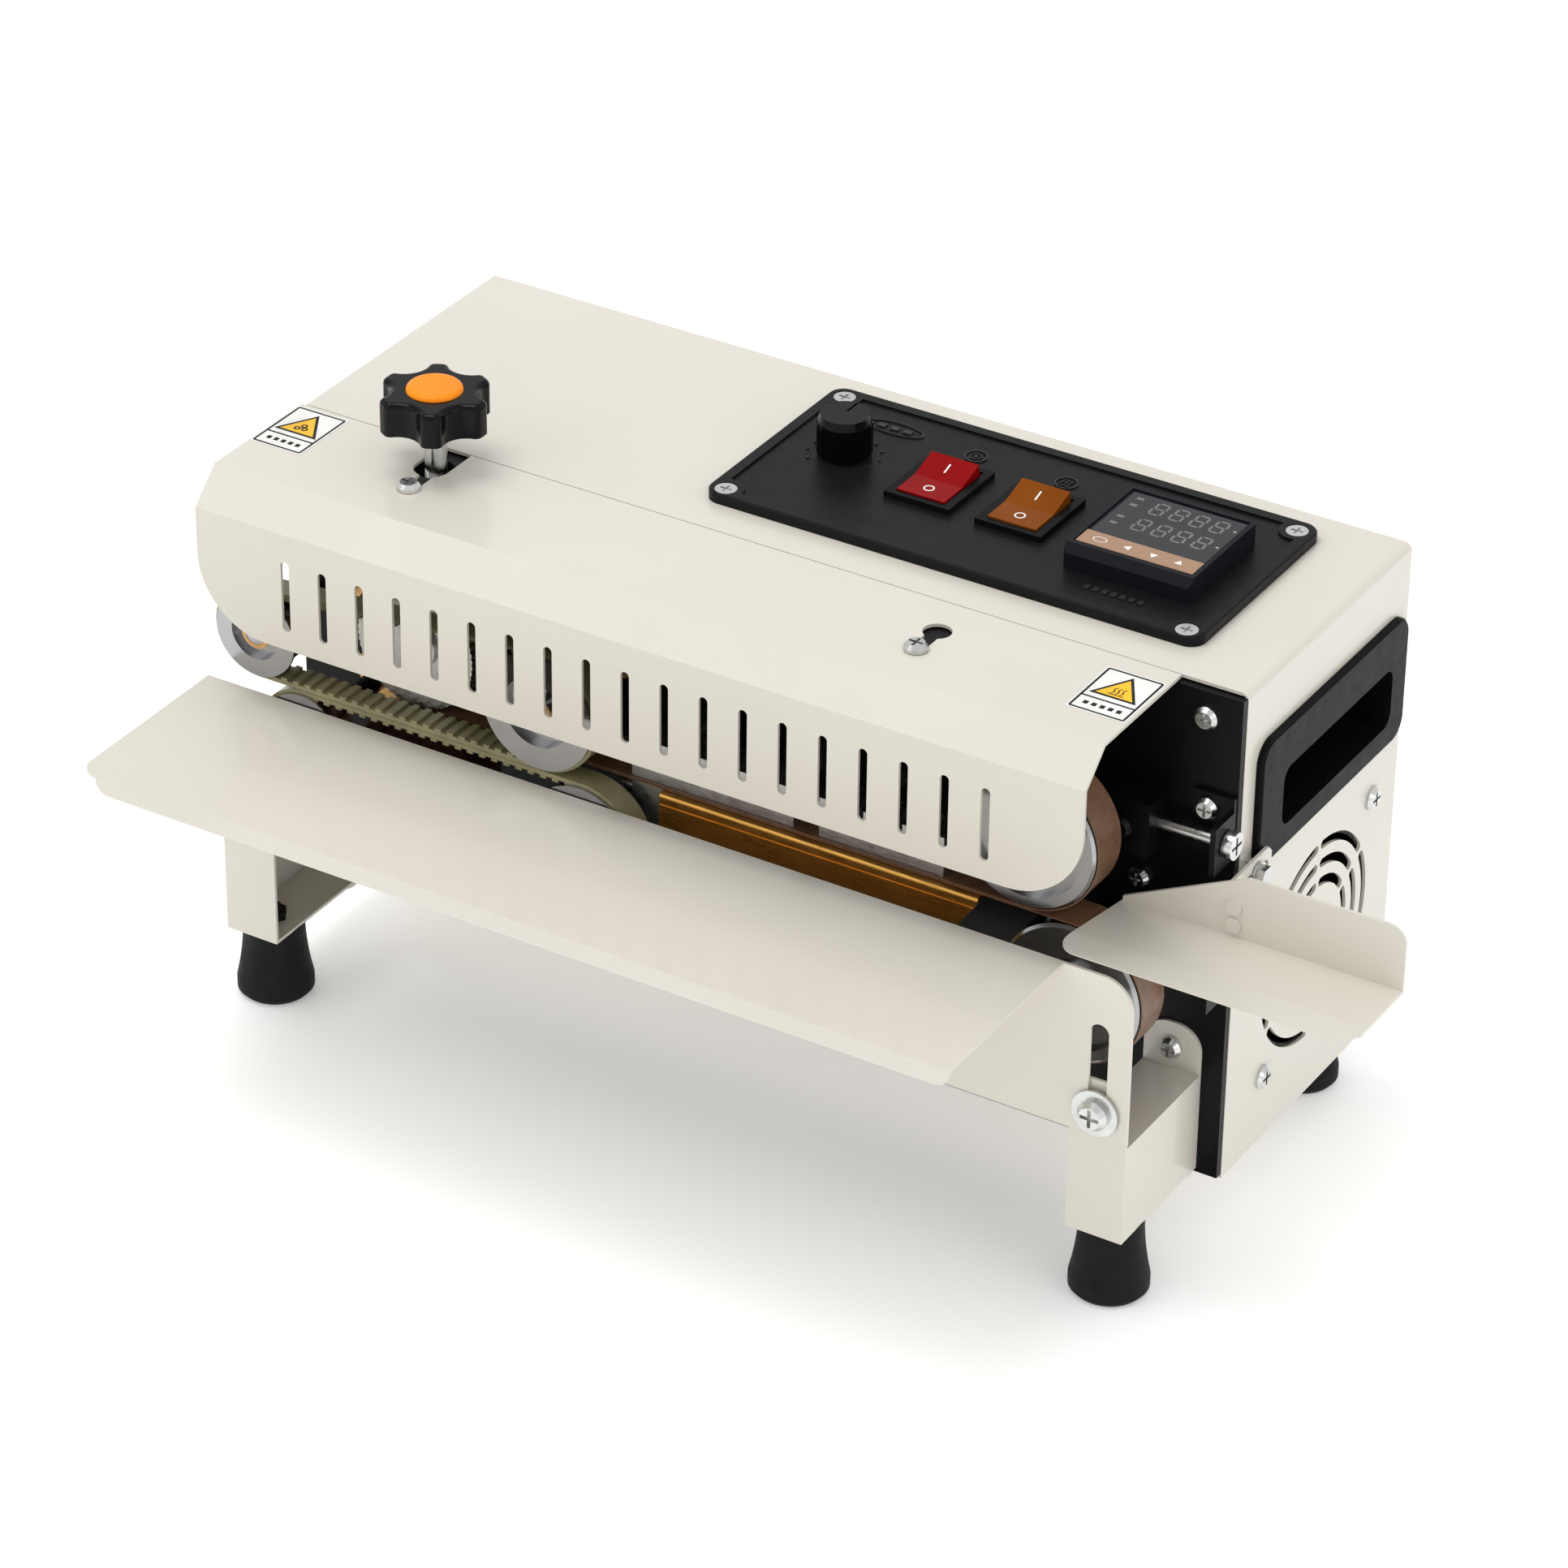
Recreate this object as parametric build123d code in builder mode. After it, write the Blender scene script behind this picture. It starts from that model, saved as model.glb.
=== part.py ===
from build123d import *
from math import acos, atan2, ceil, cos, degrees, hypot, pi, radians, sin
import os

# Continuous band sealer for bags, in millimetres.
# Local layout: X = 0 is the middle of the housing, +X runs towards the bag guide tray,
# -Y faces the operator and the machine stands on the level Z = GROUND.
# The shift puts the origin on the ground under the middle of the machine's bounding box.
TABLE_LEFT = -190.0
TRAY_RIGHT = 258.0
TABLE_FRONT = -160.0
REAR_END = 92.0
GROUND = 4.0
SHIFT_X = -(TABLE_LEFT + TRAY_RIGHT) / 2
SHIFT_Y = -(TABLE_FRONT + REAR_END) / 2

# Housing
HALF_LENGTH = 186.5
HOUSING_BOTTOM = 30.0
HOUSING_TOP = 220.5
SHELL_FRONT = -28.5
SHELL_BACK = 88.8
REAR_PANEL_BACK = 90.0
SHEET = 1.2
PLATE_FRONT = -31.5
PLATE_TOP = 218.8

# Front cover over the belts
COVER_LEFT = -186.5
COVER_RIGHT = 162.0
COVER_SEAM = -28.9
COVER_FOLD = -80.5
COVER_FACE = -92.6
COVER_SHOULDER = 208.8
COVER_BOTTOM = 163.5
COVER_SLOTS = 19
COVER_SLOT_PITCH = 15.3
COVER_CORNER = 28.0
KEYHOLE_LEFT = (-120.0, -60.0)
KEYHOLE_RIGHT = (81.0, -61.2)

# Sealing line and belts
SEAL_Z = 141.8
BELT_GAP = 0.1
SEAL_BELT_THICK = 0.5
SEAL_BELT_BACK = -55.0
SEAL_BELT_FRONT = -70.0
RIM_GAP = 0.3
GUIDE_BELT_THICK = 1.6
GUIDE_BELT_BACK = -73.0
GUIDE_BELT_FRONT = -82.6
TOOTH_HIGH = 1.1
TOOTH_WIDE = 2.4
TOOTH_PITCH = 5.0

# Wheels: radius and place along X
ENTRY_RADIUS = 26.0
ROLLER_RADIUS = 23.7
EXIT_RADIUS = 16.0
MIDDLE_RADIUS = 21.5
UPPER_ENTRY_X = 129.5
LOWER_ENTRY_X = 148.0
ROLLER_X = -111.0
UPPER_EXIT_X = -169.5
LOWER_EXIT_X = -151.0
UPPER_MIDDLE_X = -52.8
LOWER_MIDDLE_X = -36.0
SHAFT = 4.0
SHAFT_BORE = 4.06
AXLE = 5.0
AXLE_BORE = 5.06

SEAL_RISE = BELT_GAP + SEAL_BELT_THICK + RIM_GAP
GUIDE_RISE = BELT_GAP + GUIDE_BELT_THICK
UPPER_ENTRY_Z = SEAL_Z + SEAL_RISE + ENTRY_RADIUS
LOWER_ENTRY_Z = SEAL_Z - SEAL_RISE - ENTRY_RADIUS
UPPER_ROLLER_Z = SEAL_Z + SEAL_RISE + ROLLER_RADIUS
LOWER_ROLLER_Z = SEAL_Z - SEAL_RISE - ROLLER_RADIUS
UPPER_EXIT_Z = SEAL_Z + GUIDE_RISE + EXIT_RADIUS
LOWER_EXIT_Z = SEAL_Z - GUIDE_RISE - EXIT_RADIUS
UPPER_MIDDLE_Z = SEAL_Z + GUIDE_RISE + MIDDLE_RADIUS
LOWER_MIDDLE_Z = SEAL_Z - GUIDE_RISE - MIDDLE_RADIUS

# Drive train behind the front plate
PLATE_BORE = 8.0
ROLLER_GEAR_BACK = -21.0
GEAR_WIDE = 6.0
TRANSFER_BACK = -9.0
TRANSFER_DRIVER = 14.5
TRANSFER_DRIVEN = 9.8
GEARBOX_FRONT = -2.0
GEARBOX_BACK = 26.0
MOTOR_BACK = 80.0
MOTOR_RADIUS = 21.0

# Pressure screw and its carriage
SCREW_X = -121.5
SCREW_Y = -41.0
SCREW_RADIUS = 4.0
KNOB_BOTTOM = 237.5
KNOB_HIGH = 12.5
KNOB_RADIUS = 20.0
CARRIAGE_LEFT = -131.3
CARRIAGE_RIGHT = -100.7
CARRIAGE_TOP = 182.0

# Belt tensioners
TENSION_Y = -38.0
TENSION_BACK = -32.0
TENSION_FRONT = -46.0
TENSION_TAB = 184.0
TENSION_END = 161.5

# Control panel
PANEL_LEFT = -31.7
PANEL_RIGHT = 159.1
PANEL_FRONT = -12.6
PANEL_BACK = 77.4
PANEL_TOP = 224.5
SPEED_KNOB = (-4.5, 36.3)
SWITCHES = (35.0, 70.5)
SWITCH_Y = 33.2
SWITCH_WIDE = 25.6
SWITCH_DEEP = 31.5
CONTROLLER_X = 121.1
CONTROLLER_Y = 31.3
CONTROLLER_SIZE = 48.0
CONTROLLER_TOP = 232.5

# Table, support arms and feet
TABLE_TOP = 137.0
TABLE_RIGHT = 153.0
TABLE_LIP = 7.0
FLANGE_FRONT = -85.8
FLANGE_BOTTOM = 74.0
FLANGE_RIGHT = 179.3
ARM_WIDE = 21.5
ARM_FRONT = -84.3
ARM_TOP = 71.2
ARM_BOTTOM = 33.0
ARM_TAB_TOP = 95.0
BACK_TAB = (26.0, 89.0)
ARM_SCREW_Z = 79.5
RIGHT_ARM_X = 167.6
LEFT_ARM_X = -175.7
TABLE_BOLT_Z = 83.6
FOOT_Y = -71.0
REAR_FOOT_X = 165.0
REAR_FOOT_Y = 76.0

# Bag guide tray
TRAY_LEFT = 149.0
TRAY_TOP = 143.2
TRAY_BACK = -49.3
TRAY_FRONT = -86.8
TRAY_FLANGE_TOP = 166.7
TRAY_BOLT = (-24.0, 151.0)

# Side handles, fan and rear fittings
HANDLE_FRONT = -20.0
HANDLE_BACK = 87.0
HANDLE_BOTTOM = 148.5
HANDLE_TOP = 196.5
GRIP = (-4.0, 76.0, 157.5, 180.0)
FAN_Y = 32.7
FAN_Z = 93.0
INLET_X = -120.0
INLET_Z = 62.0

STANDING = (Align.CENTER, Align.CENTER, Align.MIN)
HANGING = (Align.CENTER, Align.CENTER, Align.MAX)

os.makedirs("parts", exist_ok=True)


def level(z):
    """Horizontal plane at height z, facing up."""
    return Plane(origin=(SHIFT_X, SHIFT_Y, z - GROUND), x_dir=(1, 0, 0), z_dir=(0, 0, 1))


def front(y):
    """Upright plane facing the operator: its own axes are X and Z."""
    return Plane(origin=(SHIFT_X, SHIFT_Y + y, -GROUND), x_dir=(1, 0, 0), z_dir=(0, -1, 0))


def rear(y):
    """Upright plane facing away from the operator: its own axes are -X and Z."""
    return Plane(origin=(SHIFT_X, SHIFT_Y + y, -GROUND), x_dir=(-1, 0, 0), z_dir=(0, 1, 0))


def side(x):
    """Upright plane facing +X: its own axes are Y and Z."""
    return Plane(origin=(SHIFT_X + x, SHIFT_Y, -GROUND), x_dir=(0, 1, 0), z_dir=(1, 0, 0))


def left_side(x):
    """Upright plane facing -X: its own axes are -Y and Z."""
    return Plane(origin=(SHIFT_X + x, SHIFT_Y, -GROUND), x_dir=(0, -1, 0), z_dir=(-1, 0, 0))


def block(x0, x1, y0, y1, z0, z1, mode=Mode.ADD):
    """Box between two corners in the local layout."""
    middle = (SHIFT_X + (x0 + x1) / 2, SHIFT_Y + (y0 + y1) / 2, (z0 + z1) / 2 - GROUND)
    with Locations(middle):
        Box(x1 - x0, y1 - y0, z1 - z0, mode=mode)


def spot(plane, x, y, lift=0.0):
    """Location on a plane, at its own x and y."""
    return plane.location * Location((x, y, lift))


def rod(place, radius, length, mode=Mode.ADD):
    """Round bar that stands on a location."""
    with Locations(place):
        Cylinder(radius, length, align=STANDING, mode=mode)


def pin(x, z, back, tip, radius, mode=Mode.ADD):
    """Round bar along Y, from back to the tip nearer the operator."""
    rod(spot(front(back), x, z), radius, back - tip, mode)


def pan_screw(place, head=4.0, rise=2.4, shank=2.0, reach=6.0):
    """Cross-head screw: its head stands on a location and its shank goes down from it."""
    recess = head * 1.25
    with Locations(place):
        Cylinder(head, rise * 0.45, align=STANDING)
        Cylinder(shank, reach, align=HANGING)
    with Locations(place * Location((0, 0, rise * 0.45))):
        Cone(head, head * 0.72, rise * 0.55, align=STANDING)
    with Locations(place * Location((0, 0, rise * 0.4))):
        Box(recess, head * 0.24, rise, align=STANDING, mode=Mode.SUBTRACT)
        Box(head * 0.24, recess, rise, align=STANDING, mode=Mode.SUBTRACT)


def save(piece, name):
    """Labels a finished piece and writes its STEP file."""
    piece.label = name
    export_step(piece, f"parts/{name}.step")


# ---------------------------------------------------------------- housing
with BuildPart() as housing_shell:
    with BuildSketch(front(SHELL_BACK)):
        with Locations((0, (HOUSING_BOTTOM + HOUSING_TOP) / 2)):
            outline = Rectangle(2 * HALF_LENGTH, HOUSING_TOP - HOUSING_BOTTOM)
        fillet(outline.vertices().group_by(Axis.Y)[-1], 3.0)
        with Locations((0, (HOUSING_BOTTOM + HOUSING_TOP - SHEET) / 2)):
            Rectangle(2 * (HALF_LENGTH - SHEET), HOUSING_TOP - SHEET - HOUSING_BOTTOM, mode=Mode.SUBTRACT)
    extrude(amount=SHELL_BACK - SHELL_FRONT)
    # Openings under the control panel
    with BuildSketch(level(HOUSING_TOP - 3 * SHEET)):
        with Locations(SPEED_KNOB):
            Circle(9)
        with Locations([(x, SWITCH_Y) for x in SWITCHES]):
            Rectangle(SWITCH_WIDE - 2, SWITCH_DEEP - 2)
        with Locations((CONTROLLER_X, CONTROLLER_Y)):
            Rectangle(CONTROLLER_SIZE - 2, CONTROLLER_SIZE - 2)
    extrude(amount=6 * SHEET, mode=Mode.SUBTRACT)
    # Handle pockets through both sides
    with BuildSketch(side(-HALF_LENGTH - SHEET)):
        with Locations(((GRIP[0] + GRIP[1]) / 2, (GRIP[2] + GRIP[3]) / 2 + 4)):
            Rectangle(GRIP[1] - GRIP[0] + 5, GRIP[3] - GRIP[2] + 13)
    extrude(amount=2 * (HALF_LENGTH + SHEET), mode=Mode.SUBTRACT)
    # Ringed fan grille, six arcs to a ring, in the right side
    with BuildSketch(side(HALF_LENGTH - 2 * SHEET)):
        for ring, gap in ((37.0, 8.0), (29.5, 10.0), (22.0, 13.0)):
            for start in range(30, 390, 60):
                arc = Edge.make_circle(ring, start_angle=start + gap / 2, end_angle=start + 60 - gap / 2)
                with Locations((FAN_Y, FAN_Z)):
                    SlotArc(arc, 3.4)
    extrude(amount=4 * SHEET, mode=Mode.SUBTRACT)
    # Upright vents in the left side
    with BuildSketch(side(-HALF_LENGTH - SHEET)):
        with Locations((FAN_Y, FAN_Z)):
            with GridLocations(9, 0, 9, 1):
                SlotOverall(46, 3.4, rotation=90)
    extrude(amount=4 * SHEET, mode=Mode.SUBTRACT)
save(housing_shell.part, "housing_shell")

with BuildPart() as rear_panel:
    with BuildSketch(rear(SHELL_BACK)):
        with Locations((0, (HOUSING_BOTTOM + HOUSING_TOP) / 2)):
            outline = Rectangle(2 * HALF_LENGTH, HOUSING_TOP - HOUSING_BOTTOM)
        fillet(outline.vertices().group_by(Axis.Y)[-1], 3.0)
        with Locations((-60, 130)):
            with GridLocations(9, 0, 12, 1):
                SlotOverall(60, 3.4, rotation=90, mode=Mode.SUBTRACT)
        with Locations((-INLET_X, INLET_Z)):
            Rectangle(28, 47, mode=Mode.SUBTRACT)
    extrude(amount=REAR_PANEL_BACK - SHELL_BACK)
save(rear_panel.part, "rear_panel")

with BuildPart() as base_plate:
    inner = HALF_LENGTH - SHEET
    block(-inner, inner, SHELL_FRONT, SHELL_BACK, HOUSING_BOTTOM, HOUSING_BOTTOM + SHEET)
    with BuildSketch(level(HOUSING_BOTTOM - 1)):
        with Locations((20, 40)):
            with GridLocations(10, 0, 14, 1):
                SlotOverall(50, 4, rotation=90)
    extrude(amount=4, mode=Mode.SUBTRACT)
save(base_plate.part, "base_plate")

SHAFTS = [
    (UPPER_EXIT_X, UPPER_EXIT_Z),
    (LOWER_EXIT_X, LOWER_EXIT_Z),
    (ROLLER_X, LOWER_ROLLER_Z),
    (UPPER_MIDDLE_X, UPPER_MIDDLE_Z),
    (LOWER_MIDDLE_X, LOWER_MIDDLE_Z),
]

with BuildPart() as front_plate:
    edge = HALF_LENGTH - 0.2
    block(-edge, edge, PLATE_FRONT, SHELL_FRONT, HOUSING_BOTTOM + 1.5, PLATE_TOP)
    # Folded tabs that carry the front cover
    for x, y in (KEYHOLE_LEFT, KEYHOLE_RIGHT):
        block(x - 11, x + 11, y - 7, PLATE_FRONT, PLATE_TOP - SHEET, PLATE_TOP)
    rod(spot(level(PLATE_TOP - 5), SCREW_X, SCREW_Y), 7.0, 10, Mode.SUBTRACT)
    for x, z in SHAFTS:
        pin(x, z, SHELL_FRONT + 1, PLATE_FRONT - 1, PLATE_BORE, Mode.SUBTRACT)
    # Upright slot round the upper roller's shaft
    with BuildSketch(front(SHELL_FRONT + 1)):
        with Locations((ROLLER_X, UPPER_ROLLER_Z + 1)):
            SlotOverall(18, 12, rotation=90)
    extrude(amount=SHELL_FRONT - PLATE_FRONT + 2, mode=Mode.SUBTRACT)
save(front_plate.part, "front_plate")

# ---------------------------------------------------------------- front cover
with BuildPart() as front_cover:
    bend = 0.5
    with BuildSketch(side(COVER_LEFT)):
        with BuildLine():
            Polyline(
                (COVER_SEAM, HOUSING_TOP),
                (COVER_FOLD, HOUSING_TOP),
                (COVER_FACE, COVER_SHOULDER),
                (COVER_FACE, COVER_BOTTOM),
                (COVER_FACE + SHEET, COVER_BOTTOM),
                (COVER_FACE + SHEET, COVER_SHOULDER - bend),
                (COVER_FOLD + bend, HOUSING_TOP - SHEET),
                (COVER_SEAM, HOUSING_TOP - SHEET),
                close=True,
            )
        make_face()
    extrude(amount=COVER_RIGHT - COVER_LEFT)
    # Large round lower corners
    with BuildSketch(front(COVER_FACE + 5)):
        for x, inward in ((COVER_LEFT, 1), (COVER_RIGHT, -1)):
            middle = x + inward * COVER_CORNER / 2
            with Locations((middle, COVER_BOTTOM + COVER_CORNER / 2)):
                Rectangle(COVER_CORNER, COVER_CORNER)
            with Locations((x + inward * COVER_CORNER, COVER_BOTTOM + COVER_CORNER)):
                Circle(COVER_CORNER, mode=Mode.SUBTRACT)
    extrude(amount=10, mode=Mode.SUBTRACT)
    # Row of upright vents
    with BuildSketch(front(COVER_FACE + 5)):
        with Locations((-11.8, 184.5)):
            with GridLocations(COVER_SLOT_PITCH, 0, COVER_SLOTS, 1):
                SlotOverall(27.4, 3.4, rotation=90)
    extrude(amount=10, mode=Mode.SUBTRACT)
    # Open notch for the pressure screw, running on to the left keyhole, and the right keyhole
    with BuildSketch(level(HOUSING_TOP - 5)):
        with Locations((SCREW_X, -38)):
            SlotOverall(24, 13, rotation=90)
        with Locations((SCREW_X, -33)):
            Rectangle(13, 12)
        with Locations(((KEYHOLE_LEFT[0], (KEYHOLE_LEFT[1] - 45) / 2))):
            SlotCenterToCenter(-45 - KEYHOLE_LEFT[1], 5, rotation=90)
        with Locations((KEYHOLE_RIGHT[0], KEYHOLE_RIGHT[1] + 7)):
            SlotCenterToCenter(14, 5, rotation=90)
        with Locations((KEYHOLE_RIGHT[0], KEYHOLE_RIGHT[1] + 14)):
            Circle(5)
    extrude(amount=10, mode=Mode.SUBTRACT)
save(front_cover.part, "front_cover")

# ---------------------------------------------------------------- screws
with BuildPart() as front_screws:
    # Screws the cover hangs on
    for x, y in (KEYHOLE_LEFT, KEYHOLE_RIGHT):
        pan_screw(spot(level(HOUSING_TOP), x, y, 0.3), 4.2, 2.6, 2.0, HOUSING_TOP + 0.3 - PLATE_TOP)
    # Screws of the front plate and its brackets
    for x, z in ((173.5, 209.5), (-173.5, 209.5), (140.0, 40.0), (-140.0, 40.0), (0, 209.5), (0, 40.0)):
        pan_screw(spot(front(PLATE_FRONT), x, z), 4.2, 3.0, 2.0, 2.5)
    for x, z in ((152.0, 141.5), (106.0, 141.5)):
        pan_screw(spot(front(PLATE_FRONT), x, z), 3.8, 3.4, 2.0, 2.5)
    # Screws in the back tabs of the support arms
    for x in (LEFT_ARM_X, RIGHT_ARM_X):
        pan_screw(spot(front(PLATE_FRONT - SHEET), x, ARM_SCREW_Z), 4.0, 3.4, 2.0, 3.5)
    # Screws in the feet of the tension brackets
    for z in (UPPER_ENTRY_Z, LOWER_ENTRY_Z):
        pan_screw(spot(front(PLATE_FRONT - 2), TENSION_TAB - 7.5, z + 8.5), 4.0, 3.0, 2.0, 4.0)
save(front_screws.part, "front_screws")

with BuildPart() as housing_screws:
    right = side(HALF_LENGTH)
    left = left_side(-HALF_LENGTH)
    for y, z in ((71.2, 129.6), (-1.9, 56.5)):
        pan_screw(spot(right, y, z), 4.4, 2.2, 2.0, 1.2)
        pan_screw(spot(left, -y, z), 4.4, 2.2, 2.0, 1.2)
    for x in (-175, 0, 175):
        for z in (40, 210):
            pan_screw(spot(rear(REAR_PANEL_BACK), x, z), 3.6, 1.9, 1.8, 1.2)
    # Hexagon bolt, washer and spacer that clamp the tray bracket to the right side
    bolt = spot(right, TRAY_BOLT[0], TRAY_BOLT[1])
    rod(bolt, 3.0, 3.1)
    rod(bolt, 2.0, 6.0)
    rod(bolt * Location((0, 0, 4.8)), 4.6, 0.8)
    with BuildSketch(bolt * Location((0, 0, 5.6))):
        RegularPolygon(3.9, 6)
    extrude(amount=2.8)
save(housing_screws.part, "housing_screws")

# ---------------------------------------------------------------- control panel
with BuildPart() as control_panel:
    centre = ((PANEL_LEFT + PANEL_RIGHT) / 2, (PANEL_FRONT + PANEL_BACK) / 2)
    length = PANEL_RIGHT - PANEL_LEFT
    depth = PANEL_BACK - PANEL_FRONT
    corners = [(PANEL_LEFT + 6.5, PANEL_FRONT + 5), (PANEL_RIGHT - 6.5, PANEL_FRONT + 4.5)]
    corners += [(PANEL_LEFT + 6.5, PANEL_BACK - 6.2), (PANEL_RIGHT - 6.5, PANEL_BACK - 6.8)]
    with BuildSketch(level(HOUSING_TOP)):
        with Locations(centre):
            RectangleRounded(length, depth, 6)
    extrude(amount=PANEL_TOP - HOUSING_TOP)
    chamfer(control_panel.faces().sort_by(Axis.Z)[-1].edges(), 0.6)
    # Sunk field inside the raised border, with bosses left around the corner screws
    with BuildSketch(level(PANEL_TOP - 0.8)):
        with Locations(centre):
            RectangleRounded(length - 9, depth - 9, 4)
        with Locations(corners):
            Circle(6.5, mode=Mode.SUBTRACT)
    extrude(amount=2, mode=Mode.SUBTRACT)
    with BuildSketch(level(HOUSING_TOP - 1)):
        with Locations(SPEED_KNOB):
            Circle(4)
        with Locations([(x, SWITCH_Y) for x in SWITCHES]):
            Rectangle(SWITCH_WIDE - 2, SWITCH_DEEP - 2)
        with Locations((CONTROLLER_X, CONTROLLER_Y)):
            Rectangle(CONTROLLER_SIZE - 2, CONTROLLER_SIZE - 2)
    extrude(amount=10, mode=Mode.SUBTRACT)
    for x, y in corners:
        with Locations(spot(level(PANEL_TOP), x, y)):
            CounterSinkHole(2.1, 4.2)
save(control_panel.part, "control_panel")

with BuildPart() as panel_screws:
    for x, y in corners:
        with Locations(spot(level(PANEL_TOP - 2.3), x, y)):
            Cone(2.0, 3.9, 2.1, align=STANDING)
            Cylinder(1.9, 6, align=HANGING)
        with Locations(spot(level(PANEL_TOP - 1.0), x, y)):
            Box(4.4, 0.9, 2, align=STANDING, mode=Mode.SUBTRACT)
            Box(0.9, 4.4, 2, align=STANDING, mode=Mode.SUBTRACT)
save(panel_screws.part, "panel_screws")

with BuildPart() as speed_potentiometer:
    base = spot(level(HOUSING_TOP - SHEET - 16), SPEED_KNOB[0], SPEED_KNOB[1])
    rod(base, 8.5, 16 + SHEET)
    rod(base, 3.4, 16 + SHEET + 3.8)
    rod(base, 3.0, 30.2)
save(speed_potentiometer.part, "speed_potentiometer")

with BuildPart() as speed_knob:
    bottom = PANEL_TOP + 0.6
    with BuildSketch(level(bottom)):
        with Locations(SPEED_KNOB):
            Circle(9.8)
            with PolarLocations(10.2, 20):
                Circle(0.9, mode=Mode.SUBTRACT)
    extrude(amount=11.5)
    with BuildSketch(level(bottom + 11.5)):
        with Locations(SPEED_KNOB):
            Circle(9.3)
    extrude(amount=3.0, taper=12)
    with BuildSketch(level(bottom - 1)):
        with Locations(SPEED_KNOB):
            Circle(4.2)
    extrude(amount=2.5, mode=Mode.SUBTRACT)
    rod(spot(level(bottom - 1), SPEED_KNOB[0], SPEED_KNOB[1]), 3.06, 9.8, Mode.SUBTRACT)
    # Pointer groove in the cap
    with Locations(spot(level(bottom + 13.9), SPEED_KNOB[0], SPEED_KNOB[1] + 5.2)):
        Box(0.9, 7.5, 2, align=STANDING, mode=Mode.SUBTRACT)
save(speed_knob.part, "speed_knob")

ROCKER_WIDE = 18.6
ROCKER_DEEP = 24.0
ROCKER_TILT = 0.15
ROCKER_PIVOT = PANEL_TOP - 3.0

with BuildPart() as switch_bodies:
    for x in SWITCHES:
        block(x - SWITCH_WIDE / 2, x + SWITCH_WIDE / 2, SWITCH_Y - SWITCH_DEEP / 2,
              SWITCH_Y + SWITCH_DEEP / 2, PANEL_TOP - 0.8, PANEL_TOP + 1.4)
        block(x - 11.6, x + 11.6, SWITCH_Y - 14.6, SWITCH_Y + 14.6, 200.0, PANEL_TOP)
        block(x - 9.8, x + 9.8, SWITCH_Y - 13.3, SWITCH_Y + 13.3, 209.0, PANEL_TOP + 3, Mode.SUBTRACT)
        for y in (-8, 0, 8):
            block(x - 3, x + 3, SWITCH_Y + y - 0.4, SWITCH_Y + y + 0.4, 192.0, 200.0)
save(switch_bodies.part, "switch_bodies")


def rocker(x):
    """Rocker cap that pivots on X in its switch, resting with its far end up."""
    origin = (SHIFT_X + x - ROCKER_WIDE / 2, SHIFT_Y + SWITCH_Y, ROCKER_PIVOT - GROUND)
    tilted = Plane(origin=origin, x_dir=(0, cos(ROCKER_TILT), sin(ROCKER_TILT)), z_dir=(1, 0, 0))
    half = ROCKER_DEEP / 2
    with BuildPart() as cap:
        with BuildSketch(tilted):
            with BuildLine():
                Polyline(
                    (-half, 6.8),
                    (0, 5.0),
                    (half, 6.8),
                    (half, 0.5),
                    (4.0, -4.5),
                    (-4.0, -4.5),
                    (-half, 0.5),
                    close=True,
                )
            make_face()
        extrude(amount=ROCKER_WIDE)
        rod(spot(side(x - ROCKER_WIDE / 2 - 0.4), SWITCH_Y, ROCKER_PIVOT), 1.5, ROCKER_WIDE + 0.8)
    return cap.part


save(rocker(SWITCHES[0]), "power_rocker")
save(rocker(SWITCHES[1]), "heater_rocker")

with BuildPart() as temperature_controller:
    half = CONTROLLER_SIZE / 2
    with BuildSketch(level(PANEL_TOP - 0.8)):
        with Locations((CONTROLLER_X, CONTROLLER_Y)):
            RectangleRounded(CONTROLLER_SIZE, CONTROLLER_SIZE, 1.5)
    extrude(amount=CONTROLLER_TOP - PANEL_TOP + 0.8)
    # Sloping front edge of the bezel, and the shallow bed of the face
    with BuildSketch(side(CONTROLLER_X - half - 1)):
        with BuildLine():
            Polyline(
                (CONTROLLER_Y - half - 1, CONTROLLER_TOP - 4.2),
                (CONTROLLER_Y - half + 3.2, CONTROLLER_TOP + 0.6),
                (CONTROLLER_Y - half - 1, CONTROLLER_TOP + 0.6),
                close=True,
            )
        make_face()
    extrude(amount=CONTROLLER_SIZE + 2, mode=Mode.SUBTRACT)
    block(CONTROLLER_X - half + 1.6, CONTROLLER_X + half - 1.6, CONTROLLER_Y - half + 4.2,
          CONTROLLER_Y + half - 1.6, CONTROLLER_TOP - 0.6, CONTROLLER_TOP + 1, Mode.SUBTRACT)
    block(CONTROLLER_X - 22.3, CONTROLLER_X + 22.3, CONTROLLER_Y - 22.3, CONTROLLER_Y + 22.3, 156.0, PANEL_TOP)
save(temperature_controller.part, "temperature_controller")

# ---------------------------------------------------------------- handles


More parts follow.
